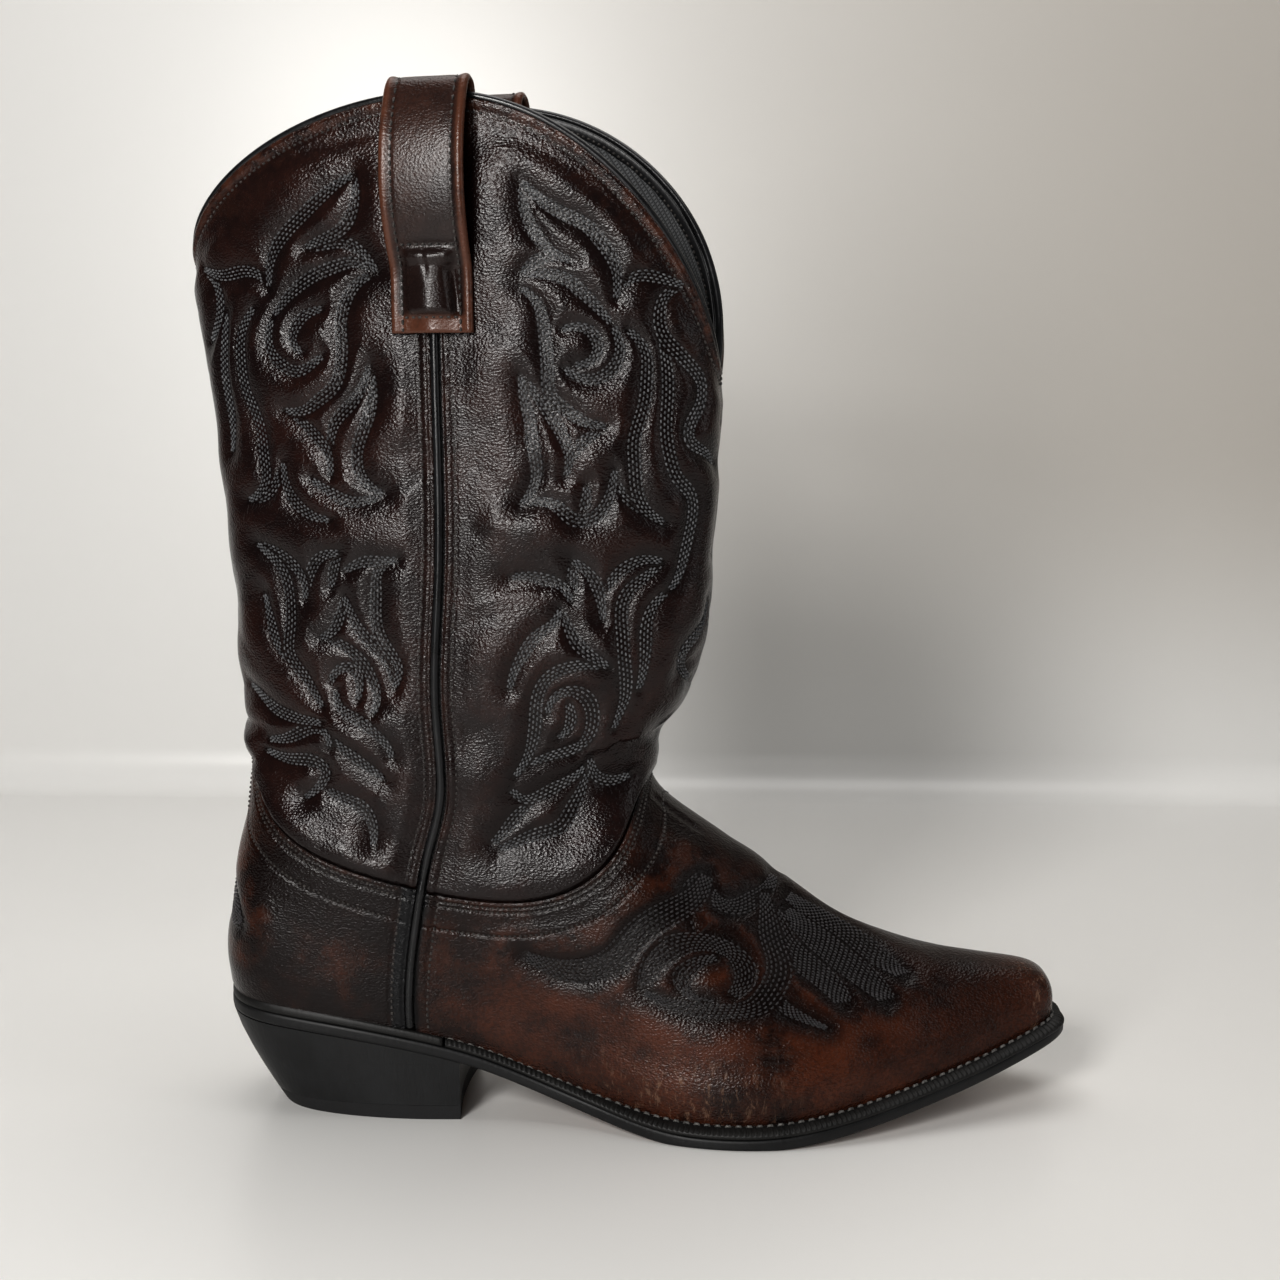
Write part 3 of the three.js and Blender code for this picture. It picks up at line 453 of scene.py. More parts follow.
def girth(station):
    ring = []
    for index, angle in enumerate(FOOT_ANGLES):
        for side in (-1, 1) if 0 < angle < 180 else (-1,):
            foot = station - len(SHAFT_LINES)
            if foot >= 0:
                knot = foot_knot(foot, index, side)
            else:
                knot = shaft_knot(station, math.radians(angle), side)
            ring.append((side * angle, knot))
    ring.sort(key=lambda p: p[0])
    wrapped = [(a - 360, p) for a, p in ring[-3:]] + ring + [(a + 360, p) for a, p in ring[:3]]
    return Spline([a for a, _ in wrapped], [p for _, p in wrapped])


GIRTHS = [girth(station) for station in range(FEATHER + 1)]


def station_bends():
    count = FEATHER + 1
    left, right = np.eye(count), np.zeros((count, count))
    for i in range(1, count - 1):
        left[i, i - 1:i + 2] = 1, 4, 1
        right[i, i - 1:i + 2] = 6, -12, 6
    return np.linalg.solve(left, right)


BENDS = station_bends()


def surface(angle, station):
    """Points of the shaft's and foot's outer surface, in millimetres."""
    angle, station = np.broadcast_arrays(np.asarray(angle, float), np.asarray(station, float))
    shape, flat = angle.shape, station.ravel()
    wrapped = (angle.ravel() + 180) % 360 - 180
    knots = np.stack([line(wrapped) for line in GIRTHS])
    knots[-1, :, 2] = seat_height(knots[-1, :, 0])
    bends = np.tensordot(BENDS, knots, 1)
    i, j = np.clip(np.floor(flat).astype(int), 0, FEATHER - 1), np.arange(len(flat))
    b = (flat - i)[:, None]
    a = 1 - b
    curve = (a**3 - a) * bends[i, j] + (b**3 - b) * bends[i + 1, j]
    points = a * knots[i, j] + b * knots[i + 1, j] + curve / 6
    points[:, 0] -= HEEL_CENTRE_X
    return points.reshape(shape + (3,))


def unit(v):
    return v / np.linalg.norm(v, axis=-1, keepdims=True)


def normals(angle, station):
    """The surface's outward directions."""
    angle, station = np.asarray(angle, float), np.asarray(station, float)
    around = surface(angle + 0.5, station) - surface(angle - 0.5, station)
    down = surface(angle, np.minimum(FEATHER, station + 0.05)) - surface(angle, station - 0.05)
    return unit(np.cross(down, around))


def per_degree(angle, station):
    """Millimetres of girth in one degree."""
    return np.linalg.norm(surface(angle + 0.5, station) - surface(angle - 0.5, station), axis=-1)


def per_station(angle, station):
    """Millimetres down the surface in one station."""
    high = np.minimum(FEATHER, station + 0.05)
    return np.linalg.norm(surface(angle, high) - surface(angle, high - 0.1), axis=-1) * 10


def smooth(t):
    """A smooth step from 0 to 1."""
    t = np.clip(t, 0, 1)
    return t * t * (3 - 2 * t)


def blend(a, b, t):
    return a + (b - a) * t


def lengths(points):
    """The distance run at each point, down the first axis."""
    steps = np.linalg.norm(np.diff(points, axis=0), axis=-1)
    return np.concatenate([0 * steps[:1], np.cumsum(steps, 0)])


def station_at(angle, height):
    """The station at which the surface has a height."""
    angle, height = np.broadcast_arrays(np.asarray(angle, float), np.asarray(height, float))
    low, high = np.zeros(angle.shape), np.full(angle.shape, 9.0)
    for _ in range(18):
        middle = (low + high) / 2
        above = surface(angle, middle)[..., 2] > height
        low, high = np.where(above, middle, low), np.where(above, high, middle)
    return (low + high) / 2


def rim_height(angle):
    turn = np.radians(np.asarray(angle, float))
    outer, front = np.sin(turn) < 0, np.cos(turn) > 0
    dip = np.where(front, RIM_FRONT_DIP, RIM_BACK_DIP)
    fall = np.where(front, np.where(outer, *RIM_FRONT_FALLS), RIM_BACK_FALL)
    return dip + (np.where(outer, *RIM_PEAKS) - dip) * np.abs(np.sin(turn)) ** fall


LEVELS = np.linspace(0, 4.5, 91)
LEVEL_HEIGHTS = surface(90, LEVELS)[:, 2]


def shaft_station(height):
    return np.interp(-np.asarray(height, float), -LEVEL_HEIGHTS, LEVELS)


def rim_station(angle):
    return shaft_station(rim_height(angle))


def cover_top(angle):
    """The station of the vamp's and the counter's top edge."""
    c = np.cos(np.radians(np.asarray(angle, float)))
    vamp = VAMP_SIDE - TONGUE_RISE * np.maximum(c, 0) ** 2.6
    back = np.maximum(-c, 0)
    counter = COUNTER_SIDE - COUNTER_RISE * back**1.5 - PEAK_RISE * back**8
    return np.where(c > 0, vamp, counter)


def feather_inward(angle):
    """Level directions square to the feather line, towards the middle of the sole."""
    angle = np.asarray(angle, float)
    along = surface(angle + 1, FEATHER) - surface(angle - 1, FEATHER)
    inward = unit(np.stack([-along[..., 1], along[..., 0], np.zeros(angle.shape)], -1))
    here = surface(angle, FEATHER)
    centre_x = (here[..., 0] + HEEL_CENTRE_X) * 0.4 + 75 - HEEL_CENTRE_X
    centre = np.stack([centre_x, 2 + 0 * angle, 0 * angle], -1)
    outward = np.sum(inward * (centre - here), -1) < 0
    return np.where(outward[..., None], -inward, inward)


def outline(angle, out):
    """The outline at the feather line, moved outwards. Its height is left at the feather line."""
    angle = np.asarray(angle, float)
    return surface(angle, FEATHER) - feather_inward(angle) * np.asarray(out, float)[..., None]


def sole_edge(x):
    """How far the welt and the sole stand out, x from the back of the heel."""
    waist = blend(1.4, 2.6, smooth((x - 40) / 60))
    return blend(waist, 6, smooth((x - 120) / 60))


def back_x(points):
    return points[..., 0] + HEEL_CENTRE_X


def angle_of_x(x, side):
    """The angle at which the feather line reaches x, measured from the back of the heel."""
    turns = np.linspace(0, 180, 721)
    along = back_x(surface(side * turns, FEATHER))
    return side * np.interp(-x, -along, turns)


# ---------------------------------------------------------------- mesh helpers
def make_mesh(name, points, faces, finish, slot, stands_for=(), uv=None, marks=None):
    """One piece from points in millimetres. faces is a list of arrays or lists of corners."""
    mesh = bpy.data.meshes.new(name)
    corners = [list(f) for group in faces for f in group]
    mesh.from_pydata((np.asarray(points) * MM).tolist(), [], corners)
    mesh.shade_smooth()
    for mark, values in (marks or {}).items():
        layer = mesh.attributes.new(mark, "FLOAT", "POINT")
        layer.data.foreach_set("value", np.asarray(values, np.float32).ravel())
    if uv is not None:
        order = np.zeros(len(mesh.loops), int)
        mesh.loops.foreach_get("vertex_index", order)
        layer = mesh.uv_layers.new(name="UVMap")
        layer.data.foreach_set("uv", (np.asarray(uv)[order] * MM).astype(np.float32).ravel())
    mesh.materials.append(FINISH[finish])
    piece = bpy.data.objects.new(name, mesh)
    bpy.context.scene.collection.objects.link(piece)
    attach(piece, "root")
    if stands_for:
        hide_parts(*stands_for)
    return piece


def grid_faces(rows, columns, offset=0, closed=False, flip=False):
    i, j = np.meshgrid(np.arange(rows - 1), np.arange(columns if closed else columns - 1), indexing="ij")
    a, b = i * columns + j, i * columns + (j + 1) % columns
    quads = np.stack([a, b, b + columns, a + columns], -1).reshape(-1, 4) + offset
    return quads[:, ::-1] if flip else quads


def rings(sections, flip=False):
    """A closed solid through sections, each a closed loop with the same number of points."""
    sections = np.asarray(sections)
    count, around = sections.shape[:2]
    first = list(range(around))
    last = [(count - 1) * around + k for k in range(around)]
    ends = [first, last[::-1]] if flip else [first[::-1], last]
    faces = [grid_faces(count, around, closed=True, flip=flip), ends]
    return sections.reshape(-1, 3), faces


def tube(path, up, radius, sides=10):
    """Sections of a round cord along a path; up is a direction roughly square to it at each point."""
    path, up = np.asarray(path), np.asarray(up)
    tangent = unit(np.gradient(path, axis=0))
    side = unit(np.cross(tangent, up))
    out = np.cross(side, tangent)
    turn = np.linspace(0, 2 * np.pi, sides, endpoint=False)
    radius = np.broadcast_to(np.asarray(radius, float), len(path))[:, None, None]
    ring = np.cos(turn)[None, :, None] * side[:, None] + np.sin(turn)[None, :, None] * out[:, None]
    body = path[:, None] + ring * radius
    ends = [path[:1, None] + ring[:1] * radius[:1] * 0.5 - tangent[:1, None] * radius[:1] * 0.5]
    ends.append(path[-1:, None] + ring[-1:] * radius[-1:] * 0.5 + tangent[-1:, None] * radius[-1:] * 0.5)
    return np.concatenate([ends[0], body, ends[1]])


def distances(points, curve):
    """From each point to the nearest sample of a curve, and which sample it is."""
    tree = kdtree.KDTree(len(curve))
    for i, p in enumerate(curve):
        tree.insert(p, i)
    tree.balance()
    flat = np.asarray(points).reshape(-1, 3)
    found = [tree.find(p)[1:] for p in flat.tolist()]
    nearest = np.array([f[0] for f in found], int)
    away = np.array([f[1] for f in found])
    shape = np.asarray(points).shape[:-1]
    return away.reshape(shape), nearest.reshape(shape)


def even_grid(front, gap, top, bottom, rows, columns):
    """Angles and stations of a sheet between the side seams, with evenly spaced rows and columns."""
    share = np.linspace(0, 1, 91)
    start, end = (-90, 90) if front else (90, 270)
    angle = blend(start, end, share)
    levels = blend(top(angle), bottom(angle), np.linspace(0, 1, 90)[:, None])
    points = surface(angle[None, :], levels)
    down = lengths(points)
    steps = np.linspace(0, 1, rows)
    columns_down = zip(down.T, levels.T)
    station = np.stack([np.interp(steps * run[-1], run, level) for run, level in columns_down], 1)
    found = np.zeros((rows, columns))
    level = np.zeros((rows, columns))
    for r in range(rows):
        line = surface(angle, station[r])
        along = lengths(line)
        want = np.linspace(gap, along[-1] - gap, columns)
        found[r] = np.interp(want, along, angle)
        level[r] = np.interp(found[r], angle, station[r])
    return found, level


COARSE = 6


def closed_sheet(outer, inner):
    """A solid between a fine outer grid and a thinned inner one, joined round the edges."""
    rows, columns = outer.shape[:2]
    coarse = inner[::COARSE, ::COARSE]
    r, c = coarse.shape[:2]
    faces = [grid_faces(rows, columns, flip=True), grid_faces(r, c, rows * columns)]
    base = rows * columns
    border = []
    for k in range(r - 1):
        for j, b, flip in ((0, 0, False), (columns - 1, c - 1, True)):
            fine = [(k * COARSE + s) * columns + j for s in range(COARSE + 1)]
            loop = fine + [base + (k + 1) * c + b, base + k * c + b]
            border.append(loop[::-1] if flip else loop)
    for k in range(c - 1):
        for i, b, flip in ((0, 0, True), (rows - 1, r - 1, False)):
            fine = [i * columns + k * COARSE + s for s in range(COARSE + 1)]
            loop = fine + [base + b * c + k + 1, base + b * c + k]
            border.append(loop[::-1] if flip else loop)
    faces.append(border)
    return np.concatenate([outer.reshape(-1, 3), coarse.reshape(-1, 3)]), faces


# ---------------------------------------------------------------- stitched ornament
# Each line is the middle of a stitched band, as points (distance round from the front centre, height).
# They are drawn for the outer half of the boot and repeated in mirror image on the inner half.
SHAFT_BANDS = [
    # back panel, upper group
    [(137, 337), (143, 334), (152, 328), (160, 322), (168, 315), (171.5, 309), (172, 300)],
    [(137, 337), (136, 332), (137, 326), (140, 320.5), (145.5, 317), (152, 315), (157, 313)],
    [(157, 313), (150, 313.5), (142, 314.5), (136, 312), (131.5, 307.5), (129, 304)],
    [(129, 304), (137, 307.5), (146, 306), (153.5, 303.5), (160.5, 299.5), (166.5, 294.5), (170, 290)],
    [(170.5, 289), (172, 284), (171, 278), (165.5, 272.5), (160, 270.5), (154, 273), (150, 276)],
    [(150, 292), (156, 290.5), (161, 286), (162, 281), (158, 277)],
    [(129, 304), (137, 300), (141, 294.5), (143, 286), (142.5, 278.5), (143, 272), (145, 266),
     (151, 261), (158, 257), (166, 257)],
    [(166, 257), (160, 254), (154, 249), (149, 244), (147, 239), (146.5, 234)],
    [(132.5, 272), (134.5, 266), (139, 259), (145, 253), (147, 246), (147.5, 240)],
    [(132.5, 272), (131, 266), (131, 260), (132.5, 253), (135.5, 246), (136.5, 240), (134.5, 234),
     (130, 230), (126, 228)],
    [(126, 228), (132, 226), (139, 225.5), (145, 228), (150.5, 231), (154, 233)],
    [(178.5, 293), (184, 285), (184.5, 275), (183, 264.5), (178.5, 254), (176.5, 246), (175, 239),
     (174, 233), (177, 228), (183, 225)],
    [(166.5, 239), (165.5, 233), (163, 228), (158, 223), (152, 220), (146, 219)],
    [(166.5, 239), (169, 232), (174, 227), (183, 225)],
    [(205, 308), (192, 305), (182, 306), (174.5, 303), (172, 299)],
    [(203, 306), (197, 302), (195, 296), (196, 290), (202, 282)],
    [(192, 292), (193, 283), (194, 270), (193, 258), (193, 242)],
    # front panel, upper group
    [(77.5, 333), (70.5, 326.5), (63, 322), (56, 318.5), (51, 313), (47, 307), (45.5, 301), (46, 294)],
    [(77.5, 333), (76.5, 323.5), (73.5, 316.5), (68.5, 310.5), (61, 306.5)],
    [(78, 302.5), (75, 305.5), (69.5, 308), (64.5, 307.5)],
    [(78, 302.5), (69.5, 302.5), (62.5, 300.5), (57, 296), (52, 291), (47.5, 286)],
    [(46, 296), (40, 301.5), (30, 301), (22, 299)],
    [(22, 299), (29.5, 295), (31, 289.5), (30, 283), (24.5, 277), (19, 272), (14, 266), (14.5, 259),
     (18.5, 252.5), (19, 247), (12, 243), (5, 239)],
    [(31, 284), (28, 271), (27.5, 261), (28, 250.5), (26, 240), (22, 232.5), (18, 229), (16, 222),
     (17, 214), (18.5, 207), (21, 199), (24, 195)],
    [(42, 284), (36, 277.5), (35, 268.5), (36, 258), (39, 247.5), (38.5, 237), (37.5, 229.5),
     (34, 223), (27, 218.5)],
    [(47.5, 286), (44.5, 279), (45.5, 273), (51, 268), (57, 267.5), (63.5, 271)],
    [(64.5, 284), (59, 285), (54, 283), (52, 277), (55, 273), (60, 272)],
    [(78, 298), (73, 293.5), (70.5, 286), (69.5, 277.5), (69, 269), (68, 262), (62.5, 257), (56, 253),
     (48.5, 251.5)],
    [(78, 268.5), (77, 261), (75, 254), (73.5, 245), (72, 236.5), (73.5, 230), (77, 225)],
    [(78, 268.5), (73, 262.5), (67.5, 255), (63, 247.5), (61, 240), (62, 234.5)],
    [(48.5, 251.5), (55, 247.5), (60, 242), (62, 234.5)],
    [(77, 225), (69, 226), (64, 224), (59.5, 220), (53, 220), (47.5, 226), (45.5, 237)],
    [(55, 231.5), (55, 225), (58.5, 220)],
    [(45.5, 237), (43.5, 230), (39, 226), (33.5, 222), (27, 218)],
    # front panel, lower group
    [(80, 200), (73.5, 200.5), (67, 199), (62, 197), (58.5, 191.5)],
    [(59, 206), (54, 202.5), (50.5, 198), (48.5, 192.5), (47, 185)],
    [(59, 206), (58.5, 199), (58.5, 191.5)],
    [(27, 205), (33, 206), (40, 203.5), (45.5, 198), (48, 192.5)],
    [(27, 205), (33, 200), (39, 195), (41, 188.5), (40, 181), (38, 171), (34.7, 162), (32.7, 154),
     (32.7, 146)],
    [(24, 195), (29.2, 190.5), (31.6, 184), (31, 175.5), (30, 166.5), (29.3, 160)],
    [(3, 190), (5, 183), (11, 177), (15, 171.5), (12, 166), (5, 162)],
    [(62, 189), (64.5, 184), (69, 180.5), (73.5, 173), (75.4, 166.5), (75.2, 161)],
    [(62, 189), (58.5, 182), (54.5, 176.5), (48, 172), (43, 169)],
    [(43, 169), (50, 170), (57.5, 169), (63, 165.5), (64.7, 159), (62.5, 151), (60, 143), (60, 135),
     (63, 129.5)],
    [(59, 152), (59.2, 157), (55.3, 160.5), (49, 159), (43.3, 153), (41, 147), (42, 140), (49, 137.5),
     (55, 135.5), (60, 133)],
    [(53, 156), (50.5, 152), (49, 147), (51.5, 143)],
    [(36.5, 135), (33, 128), (27, 126), (20, 128)],
    [(64, 125), (60, 121), (50.5, 124), (42.5, 128), (37, 132.5)],
    [(37, 132.5), (38.3, 125), (43, 117), (48, 111), (54, 109), (62, 106), (68, 103)],
    [(56, 120), (60, 117), (65, 111), (70, 105)],
    # back panel, lower group
    [(178, 210), (172, 206), (166.5, 201.5), (164, 196), (162.5, 188), (161.5, 179), (160.3, 171),
     (153.5, 164), (146, 157), (140.5, 152.5)],
    [(178, 210), (169.5, 207.5), (162, 203.5), (157.5, 198.5), (156, 190.5)],
    [(142, 207.5), (149.5, 206), (154, 200), (156, 190.5)],
    [(142, 207.5), (144.5, 201), (145.5, 195)],
    [(120.5, 205.5), (127.5, 205), (135, 204), (140, 201)],
    [(120.5, 205.5), (127.5, 201), (128, 195), (128, 188), (126.5, 180.5), (120.5, 172.5),
     (117, 168.5), (116.5, 160.5)],
    [(140.5, 192.5), (137.5, 186.5), (134, 181), (128, 175.5), (121.5, 169.5), (116.5, 160.5)],
    [(140.5, 192.5), (141.5, 186), (144, 180), (148.5, 177)],
    [(148.5, 177), (142, 176), (136, 173), (129.5, 167.5), (124.5, 161.5), (121, 155.5), (120.5, 151)],
    [(141.5, 161.5), (140, 166), (134.5, 167), (130.5, 162), (128.5, 155.5)],
    [(138.5, 159), (135, 153.5), (129.5, 150.5), (124, 148.5), (116.5, 144.5), (110, 139.5),
     (107.5, 135.5)],
    [(175, 192), (172.5, 186), (169, 179), (164, 171.5), (160, 168)],
    [(180, 158), (172, 155), (163, 151), (150, 148), (138, 147)],
    [(160, 139), (149.5, 141), (140, 145), (134, 143), (131.5, 138.5)],
    [(160, 135), (147.5, 133), (136.5, 133), (132.5, 131), (134, 124.5), (140, 119.5)],
    [(134, 143), (126.5, 138.5), (115.5, 132), (109.5, 128)],
    [(133, 124), (126, 121), (116, 117), (110.5, 110.5), (108, 104)],
]
# The same for the vamp and the counter, as (angle, station), with the band's number of rows.
FOOT_BANDS = [
    (7, [(-65.5, 7.6), (-59, 7.7), (-53, 7.6), (-47, 7.35), (-40.5, 6.95), (-33, 6.7), (-24.5, 6.55),
         (-18, 6.35)]),
    (6, [(-43.5, 7.8), (-40, 7.95), (-35.5, 8.05), (-31, 8.1), (-27, 8.1), (-23.5, 7.95), (-19.5, 7.7),
         (-16.5, 7.35), (-12.5, 7.05), (-9.5, 6.85)]),
    (7, [(-43.5, 7.75), (-39.5, 7.35), (-32.5, 7.1), (-26, 7.2), (-24, 7.45), (-25.5, 7.7), (-29.5, 7.9)]),
    (6, [(-18, 6.35), (-20.5, 6.55), (-18.5, 6.8), (-13.5, 6.85), (-8, 6.85), (-3, 6.8)]),
    (5, [(-27.5, 7.35), (-32.5, 7.4), (-36, 7.6), (-35.5, 7.85), (-32.5, 7.95)]),
    (4, [(-29, 6.95), (-28.5, 6.7), (-25.5, 6.45), (-19, 6.3)]),
    (10, [(-11, 7.05), (-15, 7.35), (-16, 7.75), (-16.5, 8.15), (-18, 8.5)]),
    (10, [(-9.5, 7.15), (-10, 7.45), (-11, 7.85), (-12.5, 8.3), (-14.5, 8.75)]),
    (6, [(-22.5, 7.85), (-24, 8.1), (-23.5, 8.45), (-22.5, 8.75)]),
    (9, [(-6, 7.05), (-5.5, 7.4), (-5.5, 7.75), (-8, 8.2), (-9.5, 8.55)]),
    (6, [(-178, 6.9), (-170, 7.3), (-163, 7.5), (-155, 7.8), (-150, 8.1)]),
    (5, [(-178, 7.8), (-168, 8.0), (-160, 8.1), (-150, 8.15)]),
]
PITCH, SEAM_PITCH, COVER_PITCH, STRAP_PITCH = 2.0, 2.3, 1.9, 2.7  # stitch lengths
ROW_SPACING = 1.3
TIP = 13.0  # how far a band narrows towards its ends


def girth_table():
    """Distance round from the front centre, for each turn of the outer side and each height."""
    turns, heights = np.linspace(0, 180, 91), np.arange(126, 373, 6.0)
    stations = station_at(-turns[None, :], heights[:, None])
    points = surface(-turns[None, :], stations)
    return turns, heights, lengths(points.swapaxes(0, 1)).T


def shaft_places(line, table):
    """(distance round, height) points as angles and stations of the outer side."""
    turns, heights, around = table
    angles = []
    for distance, z in line:
        row = np.clip((z - heights[0]) / (heights[1] - heights[0]), 0, len(heights) - 1.001)
        low, share = int(row), row - int(row)
        angles.append(-np.interp(distance, blend(around[low], around[low + 1], share), turns))
    stations = station_at(angles, [z for _, z in line])
    return np.stack([angles, stations], 1)


class Band:
    """A stitched band: evenly spaced places along its middle line, and how wide it is there."""

    def __init__(self, places, rows, side):
        places = np.array(places, float)
        line = Spline(lengths(surface(places[:, 0], places[:, 1])), places)
        fine = line(np.linspace(0, line.x[-1], 200))
        points = surface(fine[:, 0], fine[:, 1])
        along = lengths(points)
        count = max(3, round(along[-1] / PITCH))
        want = np.linspace(0, along[-1], count + 1)
        self.angle = side * np.interp(want, along, fine[:, 0])
        self.station = np.interp(want, along, fine[:, 1])
        self.rows = rows
        to_tip = np.minimum(want, along[-1] - want)
        self.width = blend(0.3, 1, smooth(to_tip / min(TIP, along[-1] * 0.45) * 0.5 + 0.25))
        self.half = self.width * (rows - 1) / 2 * ROW_SPACING + 0.8
        self.points = surface(self.angle, self.station)

    def row_lines(self):
        """Each row's places, as angles and stations."""
        a, s = self.angle, self.station
        along = unit(np.gradient(self.points, axis=0))
        across = unit(np.cross(normals(a, s), along))
        round_step = surface(a + 0.5, s) - surface(a - 0.5, s)
        down_step = (surface(a, s + 0.05) - surface(a, s - 0.05)) * 10
        for row in range(self.rows):
            shift = (row - (self.rows - 1) / 2) * ROW_SPACING * self.width
            move = across * shift[:, None]
            turn = np.sum(move * round_step, -1) / np.sum(round_step**2, -1)
            down = np.sum(move * down_step, -1) / np.sum(down_step**2, -1)
            line = a + turn, s + down
            yield tuple((v[1:] + v[:-1]) / 2 for v in line) if row % 2 else line


def make_bands():
    table = girth_table()
    shaft, foot = [], []
    for side in (1, -1):
        shaft += [Band(shaft_places(line, table), 4, side) for line in SHAFT_BANDS]
        foot += [Band(line, rows, side) for rows, line in FOOT_BANDS]
    return shaft, foot


# ---------------------------------------------------------------- thread
STITCH_SIDES = 5


def stitch_solids(starts, ends, ups, radius, rise):
    """Small arched stitches: each dips into the leather at both ends and stands proud in its middle."""
    starts, ends, ups = (np.asarray(v) for v in (starts, ends, ups))
    along = ends - starts
    side = unit(np.cross(along, ups))
    turn = np.linspace(0, 2 * np.pi, STITCH_SIDES, endpoint=False)
    ring = np.cos(turn)[None, :, None] * side[:, None] + np.sin(turn)[None, :, None] * ups[:, None]
    parts = [(starts - ups * radius)[:, None]]
    for share in (0.26, 0.74):
        middle = starts + along * share + ups * rise
        parts.append(middle[:, None] + ring * radius)
    parts.append((ends - ups * radius)[:, None])
    points = np.concatenate(parts, 1)
    n, first, last = STITCH_SIDES, 0, 1 + 2 * STITCH_SIDES
    base = np.arange(len(starts))[:, None] * (last + 1)
    k = np.arange(n)
    after = (k + 1) % n
    quads = np.stack([1 + k, 1 + after, 1 + n + after, 1 + n + k], -1)
    head = np.stack([np.full(n, first), 1 + after, 1 + k], -1)
    tail = np.stack([np.full(n, last), 1 + n + k, 1 + n + after], -1)
    faces = [(base[:, :, None] + part).reshape(-1, part.shape[1]) for part in (quads, head, tail)]
    return points.reshape(-1, 3), faces


def thread_piece(name, rows, finish, slot, radius=0.34, rise=0.2, fill=0.78):
    """rows holds (points, normals) lines whose points lie one stitch apart."""
    starts, ends, ups = [], [], []
    for points, up in rows:
        gap = (points[1:] - points[:-1]) * (1 - fill) / 2
        starts.append(points[:-1] + gap)
        ends.append(points[1:] - gap)
        ups.append(unit(up[:-1] + up[1:]))
    solids = stitch_solids(*(np.concatenate(v) for v in (starts, ends, ups)), radius, rise)
    make_mesh(name, *solids, finish, slot)


def paced(angle, station, pitch):
    """Places one stitch apart along a line of angles and stations."""
    points = surface(angle, station)
    along = lengths(points)
    want = np.linspace(0, along[-1], max(2, round(along[-1] / pitch) + 1))
    return np.interp(want, along, angle), np.interp(want, along, station)


# ---------------------------------------------------------------- the leather's relief
TURNS = np.linspace(-180, 180, 1441)
RIM = surface(TURNS, rim_station(TURNS))
COVER_EDGE = surface(TURNS, cover_top(TURNS))
SHAFT_BAND_LIST, FOOT_BAND_LIST = make_bands()
ROLL = 2.8  # width of the rolled edge under the topline
RIM_ROW, SEAM_ROW, FOOT_SEAM_ROW = 4.3, 5.8, 6.6  # distances of stitch rows from rim and side seams
FACING_ROW = 2.6
COVER_ROWS = (2.0, 3.7, 12.5)  # and of those below the vamp's edge
# Creases in the leather: points as in the ornament, then depth and half width.
SHAFT_CREASES = [
    ([(205, 152), (190, 148), (176, 143), (160, 144)], 1.3, 3.5),
    ([(205, 131), (188, 128), (172, 129), (155, 133)], 1.1, 3.5),
    ([(0, 142), (14, 140), (28, 141)], 1.2, 4),
    ([(0, 172), (10, 168), (20, 160)], 0.9, 4),
    ([(94, 222), (76, 217), (56, 221)], -1.5, 10),
    ([(80, 246), (64, 242), (48, 247)], -0.9, 8),
    ([(66, 175), (50, 170), (34, 175)], -1.2, 9),
    ([(44, 151), (30, 143), (16, 147)], -1.3, 8),
    ([(94, 135), (76, 129), (56, 133)], -1.2, 9),
    ([(112, 257), (128, 250), (146, 254)], -1.1, 10),
    ([(110, 151), (126, 144), (144, 148)], -1.1, 9),
]
FOOT_CREASES = [
    ([(-30.5, 8.3), (-33.5, 8.6), (-35, 9.1)], 0.25, 0.7),
    ([(-28.5, 8.3), (-31.5, 8.7), (-34, 9.5)], 0.35, 0.8),
    ([(-26.5, 8.3), (-30, 8.8), (-33, 9.9)], 0.4, 0.8),
    ([(-25, 8.35), (-28.5, 8.8), (-31, 9.7)], 0.35, 0.8),
    ([(-22.5, 8.4), (-25.5, 8.8), (-29, 9.5)], 0.3, 0.7),
    ([(-14, 8.7), (-17, 8.95), (-18, 9.3)], 0.25, 0.8),
    ([(-12, 5.2), (-9, 5.6), (-8, 6.0)], 0.5, 1.5),
]


def turn_from_seam(angle):
    """Degrees between an angle and the nearer side seam."""
    wrapped = (np.asarray(angle, float) + 180) % 360 - 180
    return np.abs(np.abs(wrapped) - 90)


def turn_from_front(angle):
    return (np.asarray(angle, float) + 180) % 360 - 180


def groove(away, at, width):
    """A smooth bell of height 1 at a distance."""
    return np.exp(-(((away - at) / width) ** 2))


def crease_samples(lines, to_places):
    """Points along each crease on both sides of the boot, with depth and half width there."""
    found = []
    for side in (1, -1):
        for line, depth, width in lines:
            places = np.array(to_places(line), float)
            fine = Spline(np.arange(len(places)), places)(np.linspace(0, len(places) - 1, 60))
            ends = smooth(np.minimum(np.linspace(0, 1, 60), np.linspace(1, 0, 60)) * 4)
            points = surface(side * fine[:, 0], fine[:, 1])
            found += [(p, depth * e, width) for p, e in zip(points, ends)]
    return found


